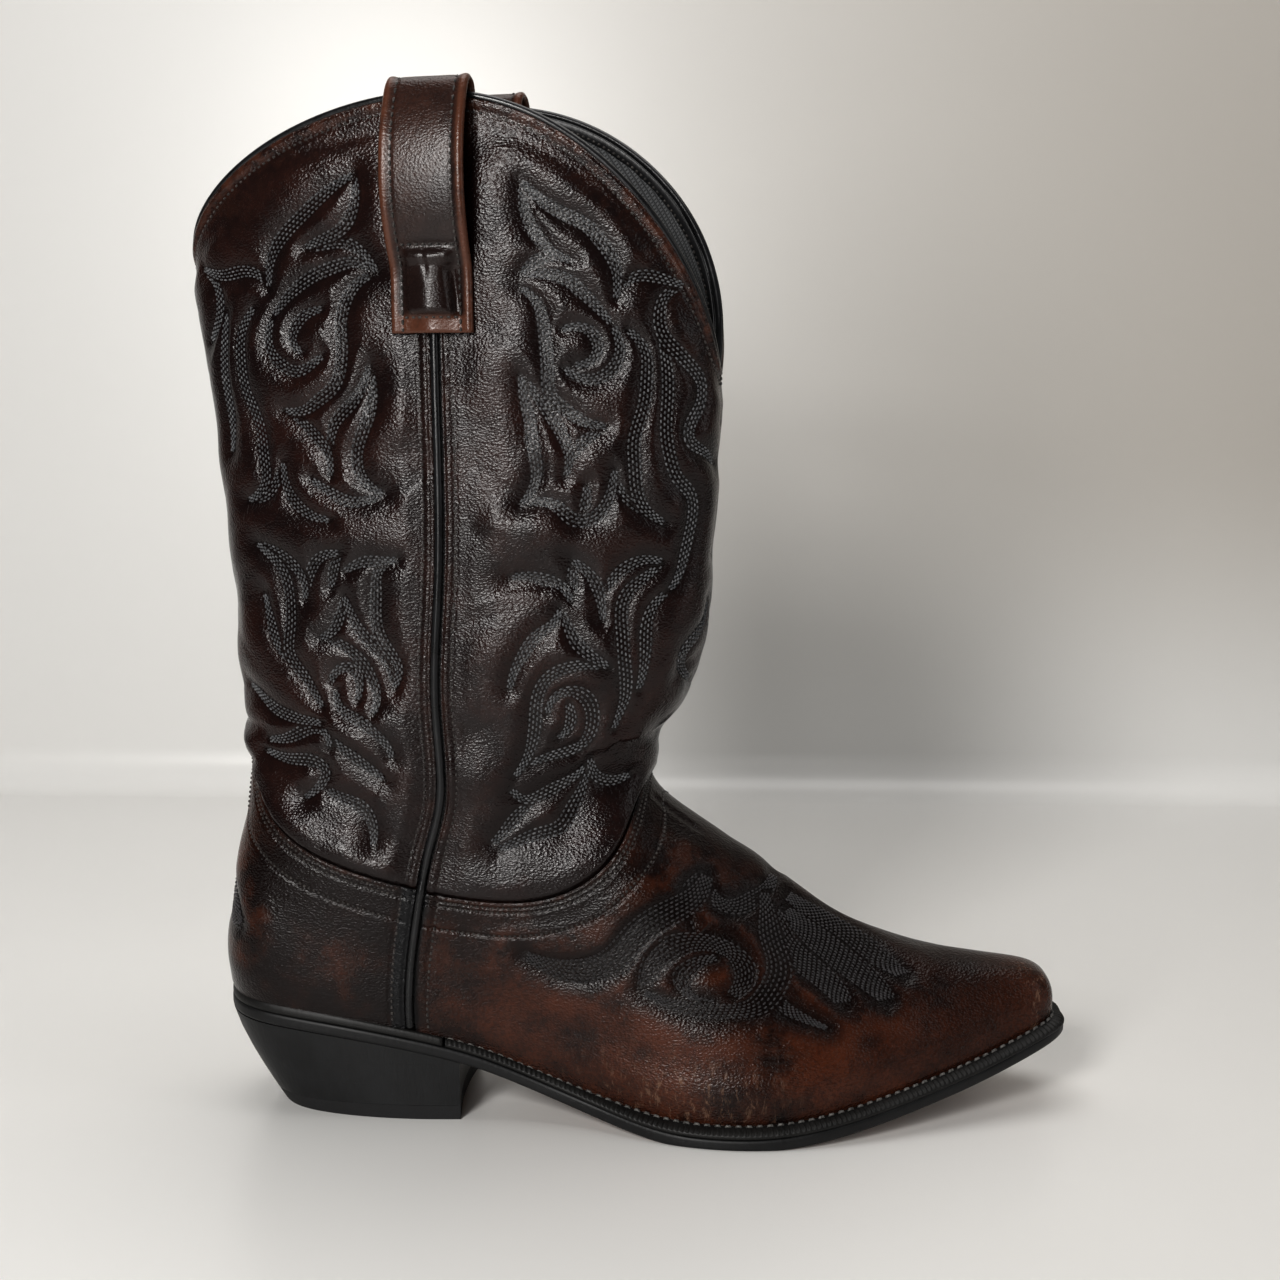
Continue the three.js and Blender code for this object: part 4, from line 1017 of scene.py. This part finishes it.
class Relief:
    """The height of a leather piece's skin over the boot's plain surface."""

    def __init__(self, bands, creases, puff, reach):
        self.centres = np.concatenate([b.points for b in bands])
        self.half = np.concatenate([b.half for b in bands])
        self.puff, self.reach = puff, reach
        self.creases = creases

    def puffed(self, points):
        away, nearest = distances(points, self.centres)
        gap = away - self.half[nearest]
        rise = 1 - (1 - np.clip(gap / self.reach, 0, 1)) ** 2
        fall = 1 - smooth((gap - self.reach * 1.2) / 14)
        # The second value, the band mask, sinks the stitched bands and paints them darker: painted shade,
        # with the real dark needle holes.
        return self.puff * rise * fall, smooth(-gap / 0.7 + 0.3), gap

    def creased(self, points):
        away, nearest = distances(points, [c[0] for c in self.creases])
        depth = np.array([c[1] for c in self.creases])[nearest]
        width = np.array([c[2] for c in self.creases])[nearest]
        near = away / width
        return depth * (0.45 * groove(near, 1.9, 0.9) - groove(near, 0, 0.75))


def rippled(points, scale, seed):
    """Soft unevenness, from -1 to 1."""
    flat = points.reshape(-1, 3) / scale + seed
    found = [noise.noise(p) for p in flat.tolist()]
    return np.array(found).reshape(points.shape[:-1])


FOLD_STRETCH = np.array([0.4, 0.4, 1.0])  # the shaft's soft folds run round the leg


class ShaftRelief(Relief):
    def low_roll(self, cover, seam):
        """The shaft sags a little over the edge of the vamp and the counter."""
        return (2.5 + 1.2 * smooth((seam - 5) / 12)) * smooth(1 - cover / 18) * smooth(cover / 2)

    def __call__(self, angle, station, points):
        rim, _ = distances(points, RIM)
        cover, _ = distances(points, COVER_EDGE)
        seam = turn_from_seam(angle) * per_degree(angle, station)
        below = station > cover_top(angle)
        puff, band, _ = self.puffed(points)
        calm = smooth((rim - 6) / 8) * smooth((seam - 6) / 7) * smooth((cover - 1) / 6) * ~below
        height = puff * calm - 0.3 * band
        folds = 1.9 * rippled(points * FOLD_STRETCH, 25, 3.1) + 0.2 * rippled(points, 9, 8.7)
        height += folds * smooth((rim - 5) / 6) * smooth((seam - 5) / 14) * smooth((cover - 1) / 6) * ~below
        height += (self.low_roll(cover, seam) + self.creased(points)) * ~below
        roll = np.sqrt(np.clip(1 - ((rim - ROLL / 2) / (ROLL / 2)) ** 2, 0, 1))
        height += np.where(rim < ROLL, 0.75 * roll - 0.25, -0.25 * groove(rim, ROLL, 0.6))
        height -= 0.45 * groove(rim, RIM_ROW, 0.65) + 0.5 * groove(seam, SEAM_ROW, 0.7) * ~below
        height += 0.45 * groove(seam, 3.7, 1.4) - 0.9 * groove(seam, SEAM_GAP - 0.4, 0.8)
        height = np.where(below, -0.25, height)
        edge = groove(rim, 1.2, 1.8) + groove(seam, 3.0, 1.2) * 0.25 + 0.3 * smooth(1 - rim / 26)
        # band: the stitched bands' mask, painted darker in the shader as shade in the sunken bands, with
        # their needle holes.
        marks = {"relief": puff / self.puff * calm, "band": band, "edge": np.clip(edge, 0, 1)}
        return height, marks


class FootRelief(Relief):
    def __call__(self, angle, station, points):
        top, _ = distances(points, COVER_EDGE)
        seam = turn_from_seam(angle) * per_degree(angle, station)
        puff, band, gap = self.puffed(points)
        calm = smooth((top - 5) / 6) * smooth((seam - 7) / 6)
        low = smooth((FEATHER - station) * 22 / 8)
        height = COVER_DEPTH + puff * calm * low - 0.15 * band
        height += 0.35 * rippled(points, 24, 5.5) * calm * low + self.creased(points) * low
        height -= 0.8 * (1 - np.sqrt(np.clip(1 - (1 - top / 1.3) ** 2, 0, 1))) * (top < 1.3)
        for away in COVER_ROWS:
            height -= 0.5 * groove(top, away, 0.65)
        height -= 0.45 * groove(seam, FOOT_SEAM_ROW, 0.7) + 0.9 * groove(seam, SEAM_GAP - 0.4, 0.7)
        height += 0.35 * groove(seam, 3.6, 1.3)
        burnished = np.where(np.abs(turn_from_front(angle)) > 90, 6.3, 2.8)
        black = 1 - smooth((seam - burnished) / 0.6)
        edge = 0.8 * groove(top, 0.8, 0.9)
        ball = np.exp(-(((points[..., 0] - 118) / 34) ** 2)) * smooth((station - 8.3) / 1.7)
        toe = smooth((points[..., 0] - 236) / 14)
        scuff = np.clip(0.8 * ball + toe, 0, 1) * (1 - black)
        # band: the stitched bands' mask, painted darker in the shader as shade in the sunken bands, with
        # their needle holes.
        marks = {"relief": puff / self.puff * calm, "band": band, "edge": np.clip(edge, 0, 1)}
        ridge = smooth((26 - np.abs(turn_from_front(angle))) / 22) * smooth((262 - points[..., 0]) / 40)
        shade = np.maximum(1 - smooth(gap / 7), ridge) * (angle < 90) + 0.5 * smooth((16 - top) / 10)
        marks.update(black=black, scuff=scuff, shade=np.clip(shade, 0, 1))
        return height, marks


# ---------------------------------------------------------------- the upper
# Rows and columns of the leather pieces' grids, each one more than a multiple of COARSE.
PANEL_GRID, VAMP_GRID, COUNTER_GRID = (265, 217), (265, 229), (97, 181)


def shaft_panel(name, front, relief):
    angle, station = even_grid(front, SEAM_GAP, rim_station, lambda a: cover_top(a) + 0.3, *PANEL_GRID)
    base, out = surface(angle, station), normals(angle, station)
    height, marks = relief(angle, station, base)
    outer = base + out * height[..., None]
    points, faces = closed_sheet(outer, base - out * 1.5)
    spare = len(points) - height.size
    marks = {k: np.concatenate([v.ravel(), np.zeros(spare)]) for k, v in marks.items()}
    make_mesh(name, points, faces, "shaft", "shaft_leather", [name], marks=marks)


TAIL = 6  # rows that carry the cover down to the welt


def foot_cover(name, front, relief, grid):
    angle, station = even_grid(front, SEAM_GAP, cover_top, lambda a: FEATHER + 0 * a, *grid)
    base, out = surface(angle, station), normals(angle, station)
    height, marks = relief(angle, station, base)
    outer = base + out * height[..., None]
    inner = base + out * 0.3
    inward = feather_inward(angle[-1])
    share = np.linspace(0, 1, TAIL + 1)[1:, None, None]
    foot = surface(angle[-1], FEATHER) - inward * 1.2
    foot[:, 2] += WELT_TOP + 0.1
    outer = np.concatenate([outer, blend(outer[-1], foot, share)])
    inner = np.concatenate([inner, blend(inner[-1], foot + inward * 1.4, share)])
    points, faces = closed_sheet(outer, inner)
    spare = len(points) - height.size
    for mark, values in marks.items():
        unseen = np.zeros(spare - TAIL * grid[1])
        marks[mark] = np.concatenate([values.ravel(), np.tile(values[-1], TAIL), unseen])
    make_mesh(name, points, faces, "foot", "foot_leather", [name], marks=marks)


def slab(outer, inner):
    """A closed sheet between two equal grids."""
    return rings(np.concatenate([outer, inner[:, ::-1]], 1))


def lining_piece(name, front):
    rows, columns = 80, 90
    angle, station = even_grid(front, 0.3, rim_station, lambda a: cover_top(a) + 0.5, rows, columns)
    base, out = surface(angle, station), normals(angle, station)
    across = lengths(base.swapaxes(0, 1)).T
    across = across - across[:, columns // 2, None]
    uv = np.stack([across, base[..., 2]], -1)
    points, faces = slab(base + out * LINING_DEPTH[1], base + out * LINING_DEPTH[0])
    both = np.concatenate([uv, uv[:, ::-1]], 1).reshape(-1, 2)
    make_mesh(name, points, faces, "lining", "lining", [name], uv=both)


def below_rim(angle, distance):
    """The station a distance down the surface, square to the topline."""
    angle = np.asarray(angle, float)
    rise = surface(angle + 1, rim_station(angle + 1)) - surface(angle - 1, rim_station(angle - 1))
    slant = np.linalg.norm(rise, axis=-1) / np.maximum(np.linalg.norm(rise[..., :2], axis=-1), 1e-6)
    return rim_station(angle) + distance * slant / per_station(angle, rim_station(angle))


def facing_piece(name, front):
    """A smooth leather band inside the topline, over the lining's edge."""
    share = np.linspace(0, 1, 101)
    angle = blend(-89.5, 89.5, share) if front else blend(90.5, 269.5, share)
    rows = [below_rim(angle, d) for d in (0, 0.4, 1.6, 3.0, 3.4)]
    station = np.stack(rows)
    turns = np.broadcast_to(angle, station.shape)
    base, out = surface(turns, station), normals(turns, station)
    thick = np.array([0.45, 0.7, 0.6, 0.65, 0.2])[:, None, None]
    points, faces = slab(base + out * (LINING_DEPTH[0] - 0.05), base + out * (LINING_DEPTH[0] - thick))
    make_mesh(name, points, faces, "facing", "lining")


def topline_cord(name, front):
    share = np.linspace(0, 1, 161)
    gap = 1 / per_degree(90, 0.1)
    angle = blend(-90 + gap, 90 - gap, share) if front else blend(90 + gap, 270 - gap, share)
    station = rim_station(angle)
    along = unit(np.gradient(surface(angle, station), axis=0))
    out = normals(angle, station)
    up = np.cross(along, out)
    up *= np.sign(up[:, 2:3])
    path = surface(angle, station) + out * -1.3 + up * 0.9
    points, faces = rings(tube(path, up, 1.35, 12))
    make_mesh(name, points, faces, "piping", "black_piping", [name])


def seam_piping(name, side):
    station = np.linspace(float(shaft_station(RIM_PEAKS[(side + 1) // 2] - 1)), FEATHER - 0.02, 160)
    angle = np.full(160, 90.0 * side)
    on_foot = smooth((station - COUNTER_SIDE + 0.3) / 0.4)
    out = normals(angle, station)
    path = surface(angle, station) + out * blend(0.15, 1.75, on_foot)[:, None]
    points, faces = rings(tube(path, out, 1.45, 12))
    make_mesh(name, points, faces, "piping", "black_piping", [name])


# ---------------------------------------------------------------- pull straps
STRAP_PATH = [
    (3.05, 283), (3.05, 306), (7.6, 318), (10.5, 333), (9.4, 348.5), (5.6, 361),
    (0.6, 367.4), (-3.4, 366.2), (-4.9, 360.8), (-4.3, 343), (-4.05, 304),
]
STRAP_LOOP_BASE = 300
STRAP_HALF = 14.5
STRAP_TUCK, STRAP_SEWN = 1.5, 312
STRAP_ROW = 4.3  # from the strap's edge to its stitches
STRAP_STEPS, STRAP_COLUMNS = 150, 41


def strap_line(centre):
    """The strap's middle line as (depth, height), evenly spaced, with its direction."""
    points = np.array(STRAP_PATH)
    points[:, 1] += (rim_height(centre) - RIM_PEAKS[0]) * smooth((points[:, 1] - STRAP_LOOP_BASE) / 30)
    chord = lengths(points)
    line = Spline(chord, points)(np.linspace(0, chord[-1], STRAP_STEPS))
    line[: STRAP_STEPS // 2, 0] = np.maximum(line[: STRAP_STEPS // 2, 0], points[0, 0])
    return line, unit(np.gradient(line, axis=0))


def strap_places(centre, across, lift):
    """Points of the strap at a distance across it and a height over its middle, all along it."""
    line, along = strap_line(centre)
    sewn = np.where(line[:, 0] > 0, 1 - smooth((line[:, 1] - STRAP_SEWN + 12) / 12), 0)
    tuck = STRAP_TUCK * sewn * smooth(abs(across) / STRAP_HALF * 1.6)
    depth = line[:, 0] - along[:, 1] * -lift - tuck
    height = line[:, 1] - along[:, 0] * lift
    station = shaft_station(np.minimum(height, LEVEL_HEIGHTS[0] - 0.01))
    angle = centre + across / per_degree(centre, station)
    points = surface(angle, station) + normals(angle, station) * depth[:, None]
    points[:, 2] = height
    return points


def bulge(across, height):
    """The folded tail under the strap's lower end: a puffed box with a deep crease at one side."""
    wide = smooth((9.4 - abs(across)) / 3.0)
    tall = smooth((311.2 - height) / 1.2) * smooth((height - 288) / 2.5)
    crown = 0.55 + 0.45 * np.cos(across / 9.3 * 1.5)
    crease = 2.6 * groove(across, 7.6 + (height - 300) * -0.12, 1.5) * tall * smooth((308 - height) / 5)
    pleat = 0.5 * groove(across, -1.5 + (311 - height) * 0.15, 0.8) * smooth((height - 298) / 8)
    row = 0.6 * groove(height, 312.6, 0.8) * (abs(across) < 11)
    return 2.8 * wide * tall * crown - crease - pleat * tall - row


def pull_strap(name, centre):
    line, _ = strap_line(centre)
    across = np.linspace(-STRAP_HALF, STRAP_HALF, STRAP_COLUMNS)
    over = np.clip((np.abs(across) - STRAP_HALF) / 1.3 + 1, 0, 1)
    edge = np.sqrt(np.clip(1 - over**2, 0.02, 1))
    rolled = 0.45 * groove(np.abs(across), STRAP_HALF - 1.5, 1.3)
    rolled -= 0.3 * groove(np.abs(across), STRAP_HALF - STRAP_ROW, 0.55)
    outside = np.arange(STRAP_STEPS) < STRAP_STEPS / 2
    upper, lower = [], []
    for d, e, r in zip(across, edge, rolled):
        forwards = -d if centre > 0 else d
        lift = e * 1.05 + r + np.where(outside, bulge(forwards, line[:, 1]), 0)
        upper.append(strap_places(centre, d, lift))
        lower.append(strap_places(centre, d, np.full(STRAP_STEPS, -e)))
    loop = np.concatenate([np.stack(upper, 1), np.stack(lower[::-1], 1)], 1)
    points, faces = rings(loop)
    pale = np.tile(smooth((np.abs(across) - 11.2) / 1.2), 2 * STRAP_STEPS)
    tan = np.repeat(smooth((290 - line[:, 1]) / 2) * outside, 2 * STRAP_COLUMNS)
    marks = {"edge": np.clip(pale + tan, 0, 1), "relief": np.full(len(points), 0.3)}
    make_mesh(name, points, faces, "strap", "strap_leather", [name], marks=marks)


def strap_rows(centre):
    """Stitch rows along both edges of a strap and across it."""
    line, _ = strap_line(centre)
    length = lengths(line)[-1]
    pick = np.linspace(0, STRAP_STEPS * 0.8, round(length * 0.8 / STRAP_PITCH)).astype(int)
    rows = []
    for d in (-STRAP_HALF + STRAP_ROW, STRAP_HALF - STRAP_ROW):
        points = strap_places(centre, d, 0.95)
        above = strap_places(centre, d, 2.0)
        rows.append((points[pick], unit(above - points)[pick]))
    for height, lift in ((312.6, 0.75), (288.6, 1.05)):
        k = int(np.argmin(np.abs(line[:80, 1] - height)))
        across = np.linspace(-9.9, 9.9, 9)
        points = np.array([strap_places(centre, d, lift)[k] for d in across])
        above = np.array([strap_places(centre, d, lift + 1)[k] for d in across])
        rows.append((points, unit(above - points)))
    return rows


# ---------------------------------------------------------------- welt, sole and heel
WELT_START_X, BREAST_X = 88, 93
WELT_T = 3
LASTING_MARGIN = 6
CLEAR = 0.3
LIFT_LEVELS = (5.5, 13.5, 21.5)
HEEL_UNDERCUT, HEEL_TAPER, HEEL_ROUNDING = 19, 0.09, 0.25
TICK = 1.9  # pitch of the wheeled marks along the welt


def even_turns(start, end, step, out=4):
    """Angles from start to end, evenly spaced along the outline."""
    fine = np.linspace(start, end, 1500)
    points = outline(fine, np.full(1500, float(out)))
    along = lengths(points)
    count = max(2, round(along[-1] / step))
    want = np.linspace(0, along[-1], count + 1)
    return np.interp(want, along, fine), want


def edge_ring(name, start, end, profile, step, ticks=0.0):
    """A strip along the outline, whose upper edge may be wheeled with ticks."""
    angle, along = even_turns(start, end, step)
    here = surface(angle, FEATHER)
    inward = feather_inward(angle)
    edge = sole_edge(back_x(here))
    seat = here[:, 2]
    wave = ticks * (0.5 - 0.5 * np.cos(2 * np.pi * along / TICK)) ** 2
    sections = []
    for share, out, rise in profile:
        points = here - inward * (edge * share + out)[:, None]
        marked = wave if share > 0.55 and rise > -1.5 else 0
        points[:, 2] = seat + WELT_TOP + rise - marked
        sections.append(points)
    points, faces = rings(np.stack(sections, 1))
    make_mesh(name, points, faces, "welt", "welt", [name])


# Corners of the strips: share of the sole's edge, distance out from there, rise over the welt's top.
INNER_EDGE = [(0, -LASTING_MARGIN, -WELT_T), (0, -LASTING_MARGIN, 0), (0, 0, 0)]
WELT_PROFILE = INNER_EDGE + [
    (0.3, 0, 0.1), (0.6, 0, -0.05), (0.78, 0, -0.4), (0.95, -0.1, -0.8), (1, 0.1, -1.2),
    (1, 0.35, -1.7), (1, 0.35, -2.3), (1, 0, -WELT_T),
]
RAND_PROFILE = INNER_EDGE + [(0.6, 0, 0.1), (1, -0.5, 0), (1, 0, -0.6), (1, 0.1, -2.2), (1, 0, -WELT_T)]


def sole_bottom(x):
    return np.maximum(0, seat_height(x) + OUTSOLE_BOTTOM)


def outsole():
    """The sole, as cross-sections between the outline's two sides."""
    share = (1 - np.cos(np.linspace(0, np.pi, 201))) / 2
    x = blend(3.8, 315.2, share)
    angles = [outline_angle_at(x, side) for side in (-1, 1)]
    loops = []
    profile = [(-0.5, 0.0), (0.1, 0.06), (0.2, 0.3), (0.2, 0.72), (0.0, 0.92), (-0.7, 1.0)]
    edges = []
    for angle in angles:
        here = surface(angle, FEATHER)
        edge = sole_edge(back_x(here))
        line = []
        for out, down in profile:
            points = outline(angle, edge + out)
            top = seat_height(np.clip(back_x(points), 0, 320)) + OUTSOLE_TOP
            points[:, 2] = blend(top, sole_bottom(np.clip(back_x(points), 0, 320)), down)
            line.append(points)
        edges.append(line)
    across = np.linspace(0, 1, 9)[1:-1]
    for k in range(len(x)):
        left, right = ([line[k] for line in edge] for edge in edges)
        top = [blend(right[0], left[0], t) for t in across]
        bottom = [blend(left[-1], right[-1], t) for t in across]
        loops.append(left + bottom + right[::-1] + top)
    points, faces = rings(np.array(loops), flip=True)
    piece = make_mesh("outsole", points, faces, "edge", "sole_leather", ["outsole"])
    piece.data.materials.append(FINISH["sole"])
    first, last = len(profile) - 1, len(profile) + len(across)
    count = 2 * last
    under = [all(first <= v % count <= last for v in p.vertices) for p in piece.data.polygons]
    piece.data.polygons.foreach_set("material_index", np.array(under, np.int32))


def outline_angle_at(x, side):
    """The outline's angle at which the sole's edge reaches x, on one side."""
    turns = side * np.linspace(0, 180, 721)
    here = surface(turns, FEATHER)
    reach = back_x(outline(turns, sole_edge(back_x(here))))
    return np.interp(-x, -reach, turns)


BREAST_POINTS = 17
HOLLOW = 2.0  # how far the heel's front face curves in


def heel_ring(height, inset=0.0):
    """The heel's outline at a height. height may be a function of x from the heel's back."""
    start, end = angle_of_x(BREAST_X, -1), angle_of_x(BREAST_X, 1) - 360
    angle, _ = even_turns(start, end, 2.2, 2)
    here = surface(angle, FEATHER)
    ring = outline(angle, sole_edge(back_x(here)) - inset)
    seat_x = back_x(ring)
    level = height(seat_x) if callable(height) else np.full(len(ring), float(height))
    down = np.clip(1 - level / heel_seat(0), 0, 1)
    back = HEEL_UNDERCUT * down**1.3
    x = blend(back, BREAST_X - inset, np.clip(seat_x / BREAST_X, 0, 1))
    rounding = HEEL_ROUNDING * np.clip(1 - seat_x / BREAST_X, 0, 1) ** 2
    y = ring[:, 1] * (1 - (HEEL_TAPER + rounding) * down)
    arc = np.stack([x - HEEL_CENTRE_X, y, level], 1)
    t = np.linspace(0, 1, BREAST_POINTS + 2)[1:-1, None]
    breast = blend(arc[-1], arc[0], t)
    breast[:, 0] -= HOLLOW * np.sin(np.pi * t[:, 0])
    if callable(height):
        breast[:, 2] = height(breast[:, 0] + HEEL_CENTRE_X)
    return np.concatenate([arc, breast])


def heel_block(name, top, base, finish, slot, ease=0.0):
    """One layer of the heel. The layers are ground flush, so only the lowest edge is eased."""
    levels = []
    for share, inset in ((0, ease), (0.02, 0.0), (0.5, 0.0), (0.98, 0.0), (1, ease)):
        if callable(top):
            levels.append(heel_ring(lambda x, s=share: blend(top(x), base, s), inset))
        else:
            levels.append(heel_ring(blend(top, base, share), inset))
    points, faces = rings(np.array(levels), flip=True)
    piece = make_mesh(name, points, faces, finish, slot, [name])
    piece.data.set_sharp_from_angle(angle=math.radians(40))


def heel_seat(x):
    return seat_height(x) + OUTSOLE_BOTTOM - CLEAR


def heel():
    heel_block("heel_wedge", heel_seat, LIFT_LEVELS[2] + 0.02, "heel", "heel")
    heel_block("heel_lift_2", LIFT_LEVELS[2], LIFT_LEVELS[1] + 0.02, "heel", "heel")
    heel_block("heel_lift_1", LIFT_LEVELS[1], LIFT_LEVELS[0] + 0.02, "heel", "heel")
    heel_block("heel_top_lift", LIFT_LEVELS[0], 0.0, "rubber", "rubber", ease=0.25)


def bottom():
    start, end = float(angle_of_x(WELT_START_X, -1)), float(angle_of_x(WELT_START_X, 1))
    edge_ring("welt", start, end, WELT_PROFILE, step=0.48, ticks=0.6)
    edge_ring("heel_rand", end + 0.6, 359.4 + start, RAND_PROFILE, step=1.2)
    outsole()
    heel()


# ---------------------------------------------------------------- sewing the boot
def on_skin(relief, angle, station):
    base = surface(angle, station)
    height, _ = relief(angle, station, base)
    out = normals(angle, station)
    return base + out * height[..., None], out


def seam_lines(front, distance, top, bottom):
    """Lines beside both side seams of a front or back piece."""
    station = np.linspace(top, bottom, 60)
    for seam in (-90, 90):
        inwards = -np.sign(seam) if front else np.sign(seam)
        yield seam + inwards * distance / per_degree(seam, station), station


def upper_rows(shaft, foot):
    """Every plain stitch row of the upper, on its leather."""
    rows = []
    for front, first, last in ((True, -88.5, 88.5), (False, 91.5, 268.5)):
        angle = np.linspace(first, last, 300)
        rows.append((shaft, *paced(angle, below_rim(angle, RIM_ROW), SEAM_PITCH)))
        edge = VAMP_SIDE if front else COUNTER_SIDE
        for line in seam_lines(front, SEAM_ROW, float(shaft_station(281)), edge - 0.15):
            rows.append((shaft, *paced(*line, SEAM_PITCH)))
        for line in seam_lines(front, FOOT_SEAM_ROW, edge + 0.1, FEATHER - 0.03):
            rows.append((foot, *paced(*line, SEAM_PITCH)))
        inset = 4.0 if front else 4.5
        angle = np.linspace(first + inset, last - inset, 300)
        for distance in COVER_ROWS:
            rows.append((foot, *paced(angle, cover_top(angle) + distance * cover_slant(angle), COVER_PITCH)))
    return [on_skin(*row) for row in rows]


def cover_slant(angle):
    """Stations per millimetre square to the cover's edge."""
    edge = surface(angle + 1, cover_top(angle + 1)) - surface(angle - 1, cover_top(angle - 1))
    level = surface(angle + 1, cover_top(angle)) - surface(angle - 1, cover_top(angle))
    slant = np.linalg.norm(edge, axis=-1) / np.linalg.norm(level, axis=-1)
    return slant / per_station(angle, cover_top(angle))


def facing_rows():
    rows = []
    for first, last in ((-88, 88), (92, 268)):
        angle = np.linspace(first, last, 300)
        angle, station = paced(angle, below_rim(angle, FACING_ROW), SEAM_PITCH)
        out = normals(angle, station)
        rows.append((surface(angle, station) + out * (LINING_DEPTH[0] - 0.62), -out))
    return rows


def welt_row():
    start, end = float(angle_of_x(WELT_START_X, -1)), float(angle_of_x(WELT_START_X, 1))
    angle, _ = even_turns(start, end, 2 * TICK)
    here = surface(angle, FEATHER)
    points = outline(angle, sole_edge(back_x(here)) * 0.36)
    points[:, 2] = here[:, 2] + WELT_TOP + 0.12
    return [(points, np.tile([0.0, 0, 1], (len(points), 1)))]


def ornament_rows(bands, relief):
    """The rows of every band, on the leather. They end where an earlier band's rows begin."""
    lines = [line for band in bands for line in band.row_lines()]
    ends = np.cumsum([len(angle) for angle, _ in lines])[:-1]
    skin = on_skin(relief, *(np.concatenate([line[k] for line in lines]) for k in (0, 1)))
    rows = iter(zip(*(np.split(values, ends) for values in skin)))
    laid = []
    for band in bands:
        fresh = [next(rows) for _ in range(band.rows)]
        for points, out in fresh:
            free = np.ones(len(points), bool)
            if laid:
                free = distances(points, np.concatenate(laid))[0] > 1.0
            for run in np.split(np.arange(len(points)), np.flatnonzero(np.diff(free)) + 1):
                if free[run[0]] and len(run) > 2:
                    yield points[run], out[run]
        laid += [points for points, _ in fresh]


def dress_cad_nodes():
    """Procedural materials for the pieces that the CAD model already shapes well."""
    looks = {
        "insole": "board", "heel_sock": "sock", "bottom_filler": "cork", "steel_shank": "steel",
        "insole_rib": "stiffener", "toe_puff": "stiffener", "heel_stiffener": "stiffener",
        "vamp_lining": "sock", "heel_lining": "sock",
    }
    for name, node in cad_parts.items():
        finish = looks.get(name, "steel" if "nail" in name else None)
        if finish:
            node.material_slots[0].material = FINISH[finish]


def build():
    shaft_creases = crease_samples(SHAFT_CREASES, lambda line: shaft_places(line, girth_table()))
    foot_creases = crease_samples(FOOT_CREASES, lambda line: line)
    shaft = ShaftRelief(SHAFT_BAND_LIST, shaft_creases, puff=1.35, reach=7.0)
    foot = FootRelief(FOOT_BAND_LIST, foot_creases, puff=0.9, reach=5.0)
    shaft_panel("front_shaft_panel", True, shaft)
    shaft_panel("back_shaft_panel", False, shaft)
    foot_cover("vamp", True, foot, VAMP_GRID)
    foot_cover("counter_cover", False, foot, COUNTER_GRID)
    for name, front in (("front", True), ("back", False)):
        lining_piece(f"{name}_shaft_lining", front)
        facing_piece(f"{name}_topline_facing", front)
        topline_cord(f"{name}_topline_bead", front)
    for name, side in (("lateral", -1), ("medial", 1)):
        seam_piping(f"{name}_side_piping", side)
        pull_strap(f"{name}_pull_strap", 90.0 * side)
    bottom()
    thread_piece("shaft_stitching", ornament_rows(SHAFT_BAND_LIST, shaft), "thread", "black_piping")
    thread_piece("foot_stitching", ornament_rows(FOOT_BAND_LIST, foot), "foot_thread", "black_piping")
    plain = upper_rows(shaft, foot) + facing_rows() + strap_rows(-90.0) + strap_rows(90.0)
    thread_piece("seam_stitching", plain, "seam_thread", "black_piping", radius=0.44, rise=0.08, fill=0.74)
    thread_piece("welt_stitching", welt_row(), "welt_thread", "welt", radius=0.55, rise=0.25, fill=0.8)


make_camera()
make_lights()
make_backdrop()
dress_cad_nodes()
build()
